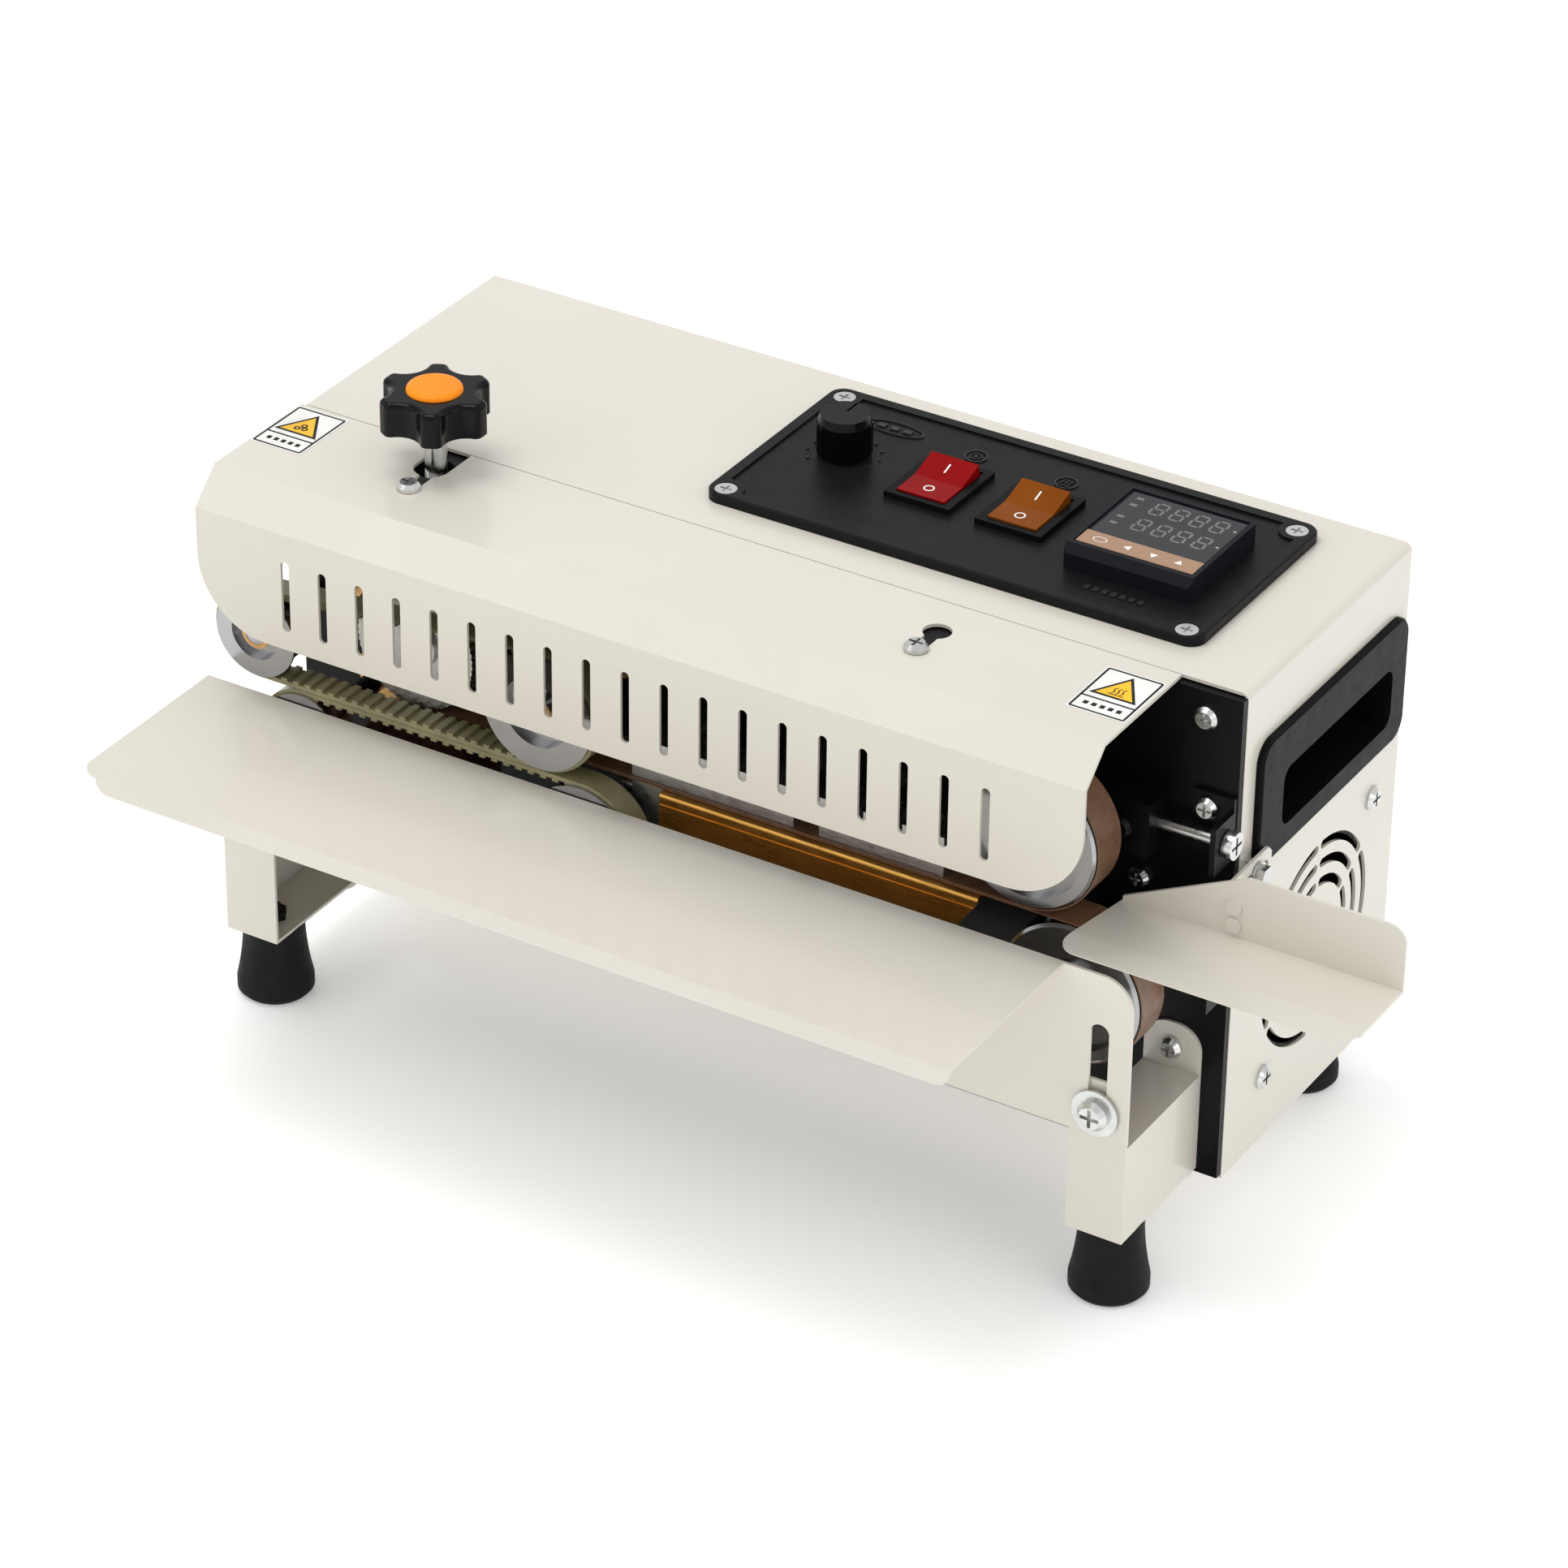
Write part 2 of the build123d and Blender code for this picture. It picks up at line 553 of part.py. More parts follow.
def handle(face, turn):
    """Recessed grip on a side wall; turn is +1 when the wall's own x runs along +Y, else -1."""
    middle = (turn * (HANDLE_FRONT + HANDLE_BACK) / 2, (HANDLE_BOTTOM + HANDLE_TOP) / 2)
    grip = (turn * (GRIP[0] + GRIP[1]) / 2, (GRIP[2] + GRIP[3]) / 2)
    wide = GRIP[1] - GRIP[0]
    high = GRIP[3] - GRIP[2]
    with BuildPart() as pocket:
        with BuildSketch(face):
            with Locations(middle):
                RectangleRounded(HANDLE_BACK - HANDLE_FRONT, HANDLE_TOP - HANDLE_BOTTOM, 8)
        extrude(amount=2.7)
        outer = pocket.faces().sort_by(Axis.X)[-1 if turn > 0 else 0]
        chamfer(outer.edges(), 0.9)
        with BuildSketch(face):
            with Locations((grip[0], grip[1] + 4)):
                Rectangle(wide + 4.4, high + 12.4)
        extrude(amount=-26)
        with BuildSketch(face.offset(3)):
            with Locations(grip):
                RectangleRounded(wide, high, 5)
        extrude(amount=-12, mode=Mode.SUBTRACT)
        with BuildSketch(face.offset(-4)):
            with Locations((grip[0], grip[1] + 4)):
                Rectangle(wide, high + 8)
        extrude(amount=-20, mode=Mode.SUBTRACT)
    return pocket.part


save(handle(side(HALF_LENGTH), 1), "handle_right")
save(handle(left_side(-HALF_LENGTH), -1), "handle_left")

# ---------------------------------------------------------------- work table, arms and feet
with BuildPart() as work_table:
    with BuildSketch(level(TABLE_TOP - SHEET)):
        with Locations(((TABLE_LEFT + TABLE_RIGHT) / 2, (TABLE_FRONT + FLANGE_FRONT + SHEET) / 2)):
            plate = Rectangle(TABLE_RIGHT - TABLE_LEFT, FLANGE_FRONT + SHEET - TABLE_FRONT)
        fillet(plate.vertices().group_by(Axis.Y)[0].sort_by(Axis.X)[0], 7)
    extrude(amount=SHEET)
    with BuildSketch(front(TABLE_FRONT + SHEET)):
        with Locations(((TABLE_LEFT + 7 + TABLE_RIGHT) / 2, TABLE_TOP - TABLE_LIP / 2)):
            lip = Rectangle(TABLE_RIGHT - TABLE_LEFT - 7, TABLE_LIP)
        fillet(lip.vertices().group_by(Axis.Y)[0], 5.5)
    extrude(amount=SHEET)
    with BuildSketch(front(FLANGE_FRONT + SHEET)):
        with Locations(((TABLE_LEFT + FLANGE_RIGHT) / 2, (FLANGE_BOTTOM + TABLE_TOP) / 2)):
            flange = Rectangle(FLANGE_RIGHT - TABLE_LEFT, TABLE_TOP - FLANGE_BOTTOM)
        fillet(flange.vertices().group_by(Axis.Y)[-1].sort_by(Axis.X)[-1], 11.5)
        fillet(flange.vertices().group_by(Axis.Y)[0], 4)
        with Locations((RIGHT_ARM_X, 97.5), (LEFT_ARM_X, 97.5)):
            SlotOverall(41, 7, rotation=90, mode=Mode.SUBTRACT)
    extrude(amount=SHEET)
save(work_table.part, "work_table")


def support_arm(x, outward):
    """Folded channel arm, open towards the middle; outward is +1 on the right arm."""
    low = x - ARM_WIDE / 2
    high = x + ARM_WIDE / 2
    wall = high if outward > 0 else low
    with BuildPart() as arm:
        block(low, high, ARM_FRONT, PLATE_FRONT, ARM_TOP - SHEET, ARM_TOP)
        block(low, high, ARM_FRONT, PLATE_FRONT, ARM_BOTTOM, ARM_BOTTOM + SHEET)
        block(wall - SHEET * (outward > 0), wall + SHEET * (outward < 0), ARM_FRONT, PLATE_FRONT,
              ARM_BOTTOM, ARM_TOP)
        # Front face with its tab behind the table, and back face with a round tab
        with BuildSketch(front(ARM_FRONT + SHEET)) as face:
            with Locations((x, (ARM_BOTTOM + ARM_TAB_TOP) / 2)):
                tab = Rectangle(ARM_WIDE, ARM_TAB_TOP - ARM_BOTTOM)
            fillet(tab.vertices().group_by(Axis.Y)[-1], 4)
        extrude(face.sketch, amount=SHEET)
        with BuildSketch(front(PLATE_FRONT)) as face:
            with Locations((x, (BACK_TAB[0] + BACK_TAB[1]) / 2)):
                RectangleRounded(ARM_WIDE, BACK_TAB[1] - BACK_TAB[0], 9.5)
        extrude(face.sketch, amount=SHEET)
        pin(x, TABLE_BOLT_Z, ARM_FRONT + 2, ARM_FRONT - 1, 3.0, Mode.SUBTRACT)
        pin(x, ARM_SCREW_Z, PLATE_FRONT + 1, PLATE_FRONT - 2, 2.0, Mode.SUBTRACT)
        rod(spot(level(ARM_BOTTOM - 1), x, FOOT_Y), 3.0, 4, Mode.SUBTRACT)
    return arm.part


save(support_arm(LEFT_ARM_X, -1), "support_arm_left")
save(support_arm(RIGHT_ARM_X, 1), "support_arm_right")

with BuildPart() as table_bolts:
    for x in (LEFT_ARM_X, RIGHT_ARM_X):
        place = spot(front(FLANGE_FRONT - 0.3), x, TABLE_BOLT_Z)
        rod(place, 8.6, 1.2)
        rod(spot(front(ARM_FRONT + SHEET + 4), x, TABLE_BOLT_Z), 2.95, 8)
        with BuildSketch(spot(front(ARM_FRONT + SHEET + 4.2), x, TABLE_BOLT_Z)):
            RegularPolygon(5.6, 6)
        extrude(amount=3.9)
        pan_screw(place * Location((0, 0, 1.2)), 5.6, 3.6, 2.0, 1.2)
save(table_bolts.part, "table_bolts")


def bell_foot(x, y, top, scale):
    """Rubber foot, narrow in the middle and wide at the ground."""
    with BuildSketch(side(x)) as half_profile:
        with BuildLine():
            rim = Polyline(
                (y, GROUND),
                (y + 12.2 * scale, GROUND),
                (y + 14.0 * scale, GROUND + 2),
                (y + 14.0 * scale, GROUND + 6),
            )
            ThreePointArc(rim @ 1, (y + 12.0 * scale, (GROUND + top) * 0.57), (y + 11.2 * scale, top))
            Polyline((y + 11.2 * scale, top), (y, top), (y, GROUND))
        make_face()
    axis = Axis((SHIFT_X + x, SHIFT_Y + y, 0), (0, 0, 1))
    revolve(half_profile.sketch, axis, 360)


with BuildPart() as front_feet:
    for x in (LEFT_ARM_X, RIGHT_ARM_X):
        bell_foot(x, FOOT_Y, ARM_BOTTOM, 1.0)
        rod(spot(level(ARM_BOTTOM), x, FOOT_Y), 2.9, 6)
        with BuildSketch(level(ARM_BOTTOM + SHEET)):
            with Locations((x, FOOT_Y)):
                RegularPolygon(5, 6)
        extrude(amount=3)
save(front_feet.part, "front_feet")

with BuildPart() as rear_feet:
    for x in (-REAR_FOOT_X, REAR_FOOT_X):
        bell_foot(x, REAR_FOOT_Y, HOUSING_BOTTOM, 0.93)
save(rear_feet.part, "rear_feet")

# ---------------------------------------------------------------- bag guide tray
with BuildPart() as bag_guide_tray:
    crease = -76.0
    with BuildSketch(level(TRAY_TOP - SHEET)):
        with BuildLine():
            Polyline(
                (TRAY_LEFT + 6.5, TRAY_BACK),
                (TRAY_RIGHT, TRAY_BACK),
                (TRAY_RIGHT, TRAY_FRONT + 7),
                (TRAY_RIGHT - 6, TRAY_FRONT),
                (TRAY_LEFT, TRAY_FRONT),
                close=True,
            )
        sheet_face = make_face()
        fillet(sheet_face.vertices().sort_by(Axis.Y)[0:2].sort_by(Axis.X)[0], 7)
    extrude(amount=SHEET)
    # Front lip, bent slightly down from the crease
    with BuildSketch(side(TRAY_LEFT - 1)):
        with BuildLine():
            Polyline(
                (crease, TRAY_TOP + 0.01),
                (TRAY_FRONT - 1, TRAY_TOP - 1.0),
                (TRAY_FRONT - 1, TRAY_TOP + 1.0),
                close=True,
            )
        make_face()
    extrude(amount=TRAY_RIGHT - TRAY_LEFT + 2, mode=Mode.SUBTRACT)
    # Upright back flange, its left end sloping down to the plate
    with BuildSketch(front(TRAY_BACK)):
        with BuildLine():
            Polyline(
                (TRAY_LEFT + 6.5, TRAY_TOP - SHEET),
                (TRAY_RIGHT, TRAY_TOP - SHEET),
                (TRAY_RIGHT, TRAY_FLANGE_TOP),
                (201.0, TRAY_FLANGE_TOP),
                (TRAY_LEFT + 6.5, TRAY_TOP + 1.6),
                close=True,
            )
        upright = make_face()
        fillet(upright.vertices().group_by(Axis.Y)[-1].sort_by(Axis.X)[-1], 7)
    extrude(amount=SHEET)
    for z in (147.6, 154.4):
        pin(196.5, z, TRAY_BACK + 1, TRAY_BACK - SHEET - 1, 1.5, Mode.SUBTRACT)
save(bag_guide_tray.part, "bag_guide_tray")

with BuildPart() as tray_bracket:
    leaf = TRAY_BACK + SHEET
    with BuildSketch(side(189.8)):
        with BuildLine():
            Polyline(
                (TRAY_BACK, 144.2),
                (-16.0, 144.2),
                (-13.8, 146.4),
                (-13.8, 155.0),
                (-16.2, 157.5),
                (TRAY_BACK, 157.5),
                close=True,
            )
        make_face()
        with Locations((-24.2, TRAY_BOLT[1])):
            SlotOverall(16.5, 4.8, mode=Mode.SUBTRACT)
    extrude(amount=SHEET)
    block(189.8, 202.0, TRAY_BACK, leaf, 144.2, 157.5)
    # Rivets through the tray's flange
    for z in (147.6, 154.4):
        pin(196.5, z, leaf + 0.8, TRAY_BACK, 2.6)
        pin(196.5, z, TRAY_BACK - SHEET, TRAY_BACK - SHEET - 0.9, 2.8)
        pin(196.5, z, TRAY_BACK, TRAY_BACK - SHEET, 1.5)
save(tray_bracket.part, "tray_bracket")

# ---------------------------------------------------------------- belts


def taut_area(wheels, grow, mode=Mode.ADD):
    """Area inside a taut loop round wheels, each given as x, z and radius."""
    rims = [Edge.make_circle(radius + grow).moved(Location((x, z, 0))) for x, z, radius in wheels]
    make_hull(rims, mode=mode)


def belt_path(wheels, pitch):
    """Evenly spaced points and inward directions along a taut loop round two wheels."""
    (x1, z1, r1), (x2, z2, r2) = wheels
    span = hypot(x2 - x1, z2 - z1)
    lean = atan2(z2 - z1, x2 - x1)
    spread = acos((r1 - r2) / span)
    straight = span * sin(spread)
    wrap2 = 2 * spread * r2
    wrap1 = 2 * (pi - spread) * r1
    total = 2 * straight + wrap1 + wrap2
    count = ceil(total / pitch)
    for index in range(count):
        travel = index * total / count
        if travel < straight:
            angle = lean + spread
            along = travel
            x = x1 + r1 * cos(angle) + along * sin(angle)
            z = z1 + r1 * sin(angle) - along * cos(angle)
        elif travel < straight + wrap2:
            angle = lean + spread - (travel - straight) / r2
            x = x2 + r2 * cos(angle)
            z = z2 + r2 * sin(angle)
        elif travel < 2 * straight + wrap2:
            angle = lean - spread
            along = travel - straight - wrap2
            x = x2 + r2 * cos(angle) + along * sin(angle)
            z = z2 + r2 * sin(angle) - along * cos(angle)
        else:
            angle = lean - spread - (travel - 2 * straight - wrap2) / r1
            x = x1 + r1 * cos(angle)
            z = z1 + r1 * sin(angle)
        yield x, z, angle


def flat_belt(wheels, back, tip, thick):
    """Plain endless belt round wheels."""
    with BuildPart() as belt:
        with BuildSketch(front(back)):
            taut_area(wheels, RIM_GAP + thick)
            taut_area(wheels, RIM_GAP, Mode.SUBTRACT)
        extrude(amount=back - tip)
    return belt.part


def toothed_belt(wheels):
    """Endless guide belt with teeth on its inner side."""
    with BuildPart() as belt:
        with BuildSketch(front(GUIDE_BELT_BACK)):
            taut_area(wheels, GUIDE_BELT_THICK)
            taut_area(wheels, 0, Mode.SUBTRACT)
            for x, z, angle in belt_path(wheels, TOOTH_PITCH):
                inset = TOOTH_HIGH / 2 - 0.2
                with Locations(Location((x - inset * cos(angle), z - inset * sin(angle)), degrees(angle))):
                    Rectangle(TOOTH_HIGH + 0.4, TOOTH_WIDE)
        extrude(amount=GUIDE_BELT_BACK - GUIDE_BELT_FRONT)
    return belt.part


UPPER_SEAL_WHEELS = [(ROLLER_X, UPPER_ROLLER_Z, ROLLER_RADIUS), (UPPER_ENTRY_X, UPPER_ENTRY_Z, ENTRY_RADIUS)]
LOWER_SEAL_WHEELS = [(ROLLER_X, LOWER_ROLLER_Z, ROLLER_RADIUS), (LOWER_ENTRY_X, LOWER_ENTRY_Z, ENTRY_RADIUS)]
UPPER_GUIDE_WHEELS = [(UPPER_EXIT_X, UPPER_EXIT_Z, EXIT_RADIUS), (UPPER_MIDDLE_X, UPPER_MIDDLE_Z, MIDDLE_RADIUS)]
LOWER_GUIDE_WHEELS = [(LOWER_EXIT_X, LOWER_EXIT_Z, EXIT_RADIUS), (LOWER_MIDDLE_X, LOWER_MIDDLE_Z, MIDDLE_RADIUS)]

save(flat_belt(UPPER_SEAL_WHEELS, SEAL_BELT_BACK, SEAL_BELT_FRONT, SEAL_BELT_THICK), "upper_sealing_belt")
save(flat_belt(LOWER_SEAL_WHEELS, SEAL_BELT_BACK, SEAL_BELT_FRONT, SEAL_BELT_THICK), "lower_sealing_belt")
save(toothed_belt(UPPER_GUIDE_WHEELS), "upper_guide_belt")
save(toothed_belt(LOWER_GUIDE_WHEELS), "lower_guide_belt")

UPPER_TRANSFER = [(UPPER_EXIT_X, UPPER_EXIT_Z, TRANSFER_DRIVEN), (ROLLER_X, UPPER_ROLLER_Z, TRANSFER_DRIVER)]
LOWER_TRANSFER = [(LOWER_EXIT_X, LOWER_EXIT_Z, TRANSFER_DRIVEN), (ROLLER_X, LOWER_ROLLER_Z, TRANSFER_DRIVER)]

with BuildPart() as transfer_belts:
    for wheels in (UPPER_TRANSFER, LOWER_TRANSFER):
        add(flat_belt(wheels, TRANSFER_BACK - 0.5, TRANSFER_BACK - 5.5, 1.5))
save(transfer_belts.part, "transfer_belts")

# ---------------------------------------------------------------- wheels, rollers and shafts


def gear(x, z, back, radius, teeth, phase):
    """Gear disc along Y; its tips end just short of the pitch circle."""
    with BuildSketch(front(back)) as outline:
        with Locations((x, z)):
            Circle(radius)
            with PolarLocations(radius, teeth, start_angle=phase):
                Circle(1.2, mode=Mode.SUBTRACT)
    extrude(outline.sketch, amount=GEAR_WIDE)


def guide_wheel(x, z, radius, shaft_back):
    """Wheel of a guide belt with a front flange, hub and shaft."""
    face = GUIDE_BELT_FRONT - 1.4
    pin(x, z, GUIDE_BELT_BACK + 0.4, GUIDE_BELT_FRONT - 0.2, radius - TOOTH_HIGH - RIM_GAP)
    pin(x, z, GUIDE_BELT_FRONT - 0.2, face, radius + 0.4)
    pin(x, z, face + 3, face - 1, radius * 0.62, Mode.SUBTRACT)
    pin(x, z, face + 3, face + 0.4, 6.0)
    pin(x, z, GUIDE_BELT_BACK + 4, GUIDE_BELT_BACK, 7.0)
    pin(x, z, shaft_back, face + 0.2, SHAFT)


ROLLER_GEAR = (UPPER_ROLLER_Z - LOWER_ROLLER_Z) / 2

with BuildPart() as upper_exit_wheel:
    guide_wheel(UPPER_EXIT_X, UPPER_EXIT_Z, EXIT_RADIUS, TRANSFER_BACK + 1)
    pin(UPPER_EXIT_X, UPPER_EXIT_Z, TRANSFER_BACK, TRANSFER_BACK - 6, TRANSFER_DRIVEN)
save(upper_exit_wheel.part, "upper_exit_wheel")

with BuildPart() as lower_exit_wheel:
    guide_wheel(LOWER_EXIT_X, LOWER_EXIT_Z, EXIT_RADIUS, TRANSFER_BACK + 1)
    pin(LOWER_EXIT_X, LOWER_EXIT_Z, TRANSFER_BACK, TRANSFER_BACK - 6, TRANSFER_DRIVEN)
save(lower_exit_wheel.part, "lower_exit_wheel")

with BuildPart() as upper_middle_wheel:
    guide_wheel(UPPER_MIDDLE_X, UPPER_MIDDLE_Z, MIDDLE_RADIUS, SHELL_FRONT + 1)
save(upper_middle_wheel.part, "upper_middle_wheel")

with BuildPart() as lower_middle_wheel:
    guide_wheel(LOWER_MIDDLE_X, LOWER_MIDDLE_Z, MIDDLE_RADIUS, SHELL_FRONT + 1)
save(lower_middle_wheel.part, "lower_middle_wheel")


def sealing_wheel(x, z):
    """Dished wheel of a sealing belt that runs on an axle."""
    back = SEAL_BELT_BACK + 0.5
    tip = SEAL_BELT_FRONT - 1.4
    with BuildPart() as wheel:
        pin(x, z, back, tip, ENTRY_RADIUS)
        pin(x, z, tip + 3, tip - 1, ENTRY_RADIUS - 4.5, Mode.SUBTRACT)
        pin(x, z, tip + 3, tip, 10.5)
        pin(x, z, back + 1, tip - 1, AXLE_BORE, Mode.SUBTRACT)
        chamfer(wheel.faces().sort_by(Axis.Y)[0].edges().sort_by(SortBy.RADIUS)[-1], 1.0)
    return wheel.part


save(sealing_wheel(UPPER_ENTRY_X, UPPER_ENTRY_Z), "upper_entry_wheel")
save(sealing_wheel(LOWER_ENTRY_X, LOWER_ENTRY_Z), "lower_entry_wheel")

ROLLER_FACE = SEAL_BELT_FRONT - 1.4

with BuildPart() as upper_press_roller:
    with BuildSketch(front(SEAL_BELT_BACK + 0.5)):
        with Locations((ROLLER_X, UPPER_ROLLER_Z)):
            Circle(ROLLER_RADIUS)
            with PolarLocations(ROLLER_RADIUS + 0.35, 60):
                Circle(0.7, mode=Mode.SUBTRACT)
    extrude(amount=SEAL_BELT_BACK + 0.5 - ROLLER_FACE)
    pin(ROLLER_X, UPPER_ROLLER_Z, ROLLER_FACE + 2, ROLLER_FACE - 1, ROLLER_RADIUS - 5, Mode.SUBTRACT)
    pin(ROLLER_X, UPPER_ROLLER_Z, ROLLER_FACE + 2, ROLLER_FACE, 8.0)
    pin(ROLLER_X, UPPER_ROLLER_Z, TRANSFER_BACK + 1, SEAL_BELT_BACK, SHAFT)
    pin(ROLLER_X, UPPER_ROLLER_Z, TRANSFER_BACK, TRANSFER_BACK - 6, TRANSFER_DRIVER)
    gear(ROLLER_X, UPPER_ROLLER_Z, ROLLER_GEAR_BACK, ROLLER_GEAR - 0.5, 36, 5)
save(upper_press_roller.part, "upper_press_roller")

with BuildPart() as lower_press_roller:
    pin(ROLLER_X, LOWER_ROLLER_Z, SEAL_BELT_BACK + 0.5, ROLLER_FACE, ROLLER_RADIUS)
    pin(ROLLER_X, LOWER_ROLLER_Z, ROLLER_FACE + 2, ROLLER_FACE - 1, ROLLER_RADIUS - 5, Mode.SUBTRACT)
    pin(ROLLER_X, LOWER_ROLLER_Z, ROLLER_FACE + 2, ROLLER_FACE, 8.0)
    pin(ROLLER_X, LOWER_ROLLER_Z, GEARBOX_FRONT + 9, SEAL_BELT_BACK, SHAFT)
    gear(ROLLER_X, LOWER_ROLLER_Z, ROLLER_GEAR_BACK, ROLLER_GEAR - 0.5, 36, 0)
    pin(ROLLER_X, LOWER_ROLLER_Z, TRANSFER_BACK, TRANSFER_BACK - 6, TRANSFER_DRIVER)
save(lower_press_roller.part, "lower_press_roller")

with BuildPart() as shaft_bearings:
    for x, z in SHAFTS:
        pin(x, z, SHELL_FRONT, PLATE_FRONT - 4, PLATE_BORE - 0.02)
        pin(x, z, PLATE_FRONT, PLATE_FRONT - 2, 11.0)
    for x, z in SHAFTS:
        pin(x, z, SHELL_FRONT + 1, PLATE_FRONT - 5, SHAFT_BORE, Mode.SUBTRACT)
save(shaft_bearings.part, "shaft_bearings")

# ---------------------------------------------------------------- heating, cooling and bag rail
UPPER_BLOCK_BOTTOM = SEAL_Z + BELT_GAP + SEAL_BELT_THICK + 0.2
LOWER_BLOCK_TOP = SEAL_Z - BELT_GAP - SEAL_BELT_THICK - 0.2


def belt_blocks(x0, x1, high):
    """Block above and block below the sealing belts, each on two posts from the front plate."""
    for z0, z1 in ((UPPER_BLOCK_BOTTOM, UPPER_BLOCK_BOTTOM + high), (LOWER_BLOCK_TOP - high, LOWER_BLOCK_TOP)):
        block(x0, x1, -69.0, -56.0, z0, z1)
        for x in (x0 + 9, x1 - 9):
            pin(x, (z0 + z1) / 2, PLATE_FRONT, -56.5, 3.5)


with BuildPart() as heating_blocks:
    belt_blocks(-24.0, 40.0, 15.0)
    for z in (UPPER_BLOCK_BOTTOM + 7.5, LOWER_BLOCK_TOP - 7.5):
        rod(spot(side(-26), -62.5, z), 3.3, 68, Mode.SUBTRACT)
save(heating_blocks.part, "heating_blocks")

with BuildPart() as cooling_blocks:
    belt_blocks(50.0, 98.0, 15.0)
    # Fins cut from the outer faces
    for x in range(56, 96, 5):
        block(x - 1, x + 1, -70.0, -55.0, UPPER_BLOCK_BOTTOM + 10.5, UPPER_BLOCK_BOTTOM + 16, Mode.SUBTRACT)
        block(x - 1, x + 1, -70.0, -55.0, LOWER_BLOCK_TOP - 16, LOWER_BLOCK_TOP - 11.0, Mode.SUBTRACT)
save(cooling_blocks.part, "cooling_blocks")

with BuildPart() as heater_cartridges:
    for z in (UPPER_BLOCK_BOTTOM + 7.5, LOWER_BLOCK_TOP - 7.5):
        rod(spot(side(-29), -62.5, z), 3.25, 66)
        rod(spot(side(-32), -62.5, z), 1.6, 3)
save(heater_cartridges.part, "heater_cartridges")

with BuildPart() as bag_guide_rail:
    with BuildSketch(side(-11.0)):
        with Locations((-70.7, (118.0 + LOWER_BLOCK_TOP) / 2)):
            section = Rectangle(3.4, LOWER_BLOCK_TOP - 118.0)
        fillet(section.vertices().group_by(Axis.Y)[-1].sort_by(Axis.X)[0], 1.8)
        with Locations((-72.4, LOWER_BLOCK_TOP - 4.2)):
            Rectangle(0.8, 0.7, mode=Mode.SUBTRACT)
    extrude(amount=124.0)
    # Bevelled right end
    with BuildSketch(front(-68)):
        with BuildLine():
            Polyline((114, LOWER_BLOCK_TOP - 1), (114, 117), (98, 117), close=True)
        make_face()
    extrude(amount=8, mode=Mode.SUBTRACT)
save(bag_guide_rail.part, "bag_guide_rail")

# ---------------------------------------------------------------- pressure screw and carriage
with BuildPart() as press_bracket:
    block(-136.8, -131.3, -50.0, PLATE_FRONT, 148.0, 212.0)
    block(-100.7, -95.2, -50.0, PLATE_FRONT, 148.0, 212.0)
    block(-136.8, -95.2, -50.0, PLATE_FRONT, 204.0, 212.0)
    rod(spot(level(203), SCREW_X, SCREW_Y), SCREW_RADIUS + 0.08, 10, Mode.SUBTRACT)
save(press_bracket.part, "press_bracket")

with BuildPart() as press_carriage:
    block(CARRIAGE_LEFT, CARRIAGE_RIGHT, -50.0, PLATE_FRONT - 0.5, 153.0, CARRIAGE_TOP)
    pin(ROLLER_X, UPPER_ROLLER_Z, PLATE_FRONT, -51, SHAFT_BORE, Mode.SUBTRACT)
    rod(spot(level(CARRIAGE_TOP - 1), SCREW_X, SCREW_Y), 3.2, 6)
save(press_carriage.part, "press_carriage")

with BuildPart() as pressure_spring:
    wire = 0.8
    centre = (SHIFT_X + SCREW_X, SHIFT_Y + SCREW_Y, CARRIAGE_TOP + 0.7 - GROUND)
    coil = Helix(pitch=2.4, height=7.2, radius=5.4, center=centre)
    with BuildSketch(Plane(origin=coil @ 0, z_dir=coil % 0)) as section:
        Circle(wire)
    sweep(section.sketch, path=coil)
save(pressure_spring.part, "pressure_spring")

with BuildPart() as thrust_cup:
    rod(spot(level(196.6), SCREW_X, SCREW_Y), 7.6, 6.4)
    rod(spot(level(199.6), SCREW_X, SCREW_Y), SCREW_RADIUS + 0.06, 5, Mode.SUBTRACT)
save(thrust_cup.part, "thrust_cup")

with BuildPart() as pressure_screw:
    rod(spot(level(199.66), SCREW_X, SCREW_Y), SCREW_RADIUS, KNOB_BOTTOM + 5 - 199.66)
save(pressure_screw.part, "pressure_screw")

with BuildPart() as pressure_knob:
    with BuildSketch(level(KNOB_BOTTOM)) as star:
        with Locations((SCREW_X, SCREW_Y)):
            Circle(KNOB_RADIUS)
            with PolarLocations(KNOB_RADIUS + 3.6, 6, start_angle=30):
                Circle(8.4, mode=Mode.SUBTRACT)
        fillet(star.vertices(), 2.6)
    extrude(amount=KNOB_HIGH)
    fillet(pressure_knob.faces().sort_by(Axis.Z)[-1].edges(), 2.0)
    rod(spot(level(KNOB_BOTTOM + KNOB_HIGH - 1.6), SCREW_X, SCREW_Y), 10.2, 4, Mode.SUBTRACT)
    rod(spot(level(KNOB_BOTTOM - 1), SCREW_X, SCREW_Y), SCREW_RADIUS, 6, Mode.SUBTRACT)
save(pressure_knob.part, "pressure_knob")

with BuildPart() as knob_cap:
    rod(spot(level(KNOB_BOTTOM + KNOB_HIGH - 1.6), SCREW_X, SCREW_Y), 10.0, 3.2)
    fillet(knob_cap.faces().sort_by(Axis.Z)[-1].edges(), 2.0)
save(knob_cap.part, "knob_cap")

# ---------------------------------------------------------------- belt tensioners


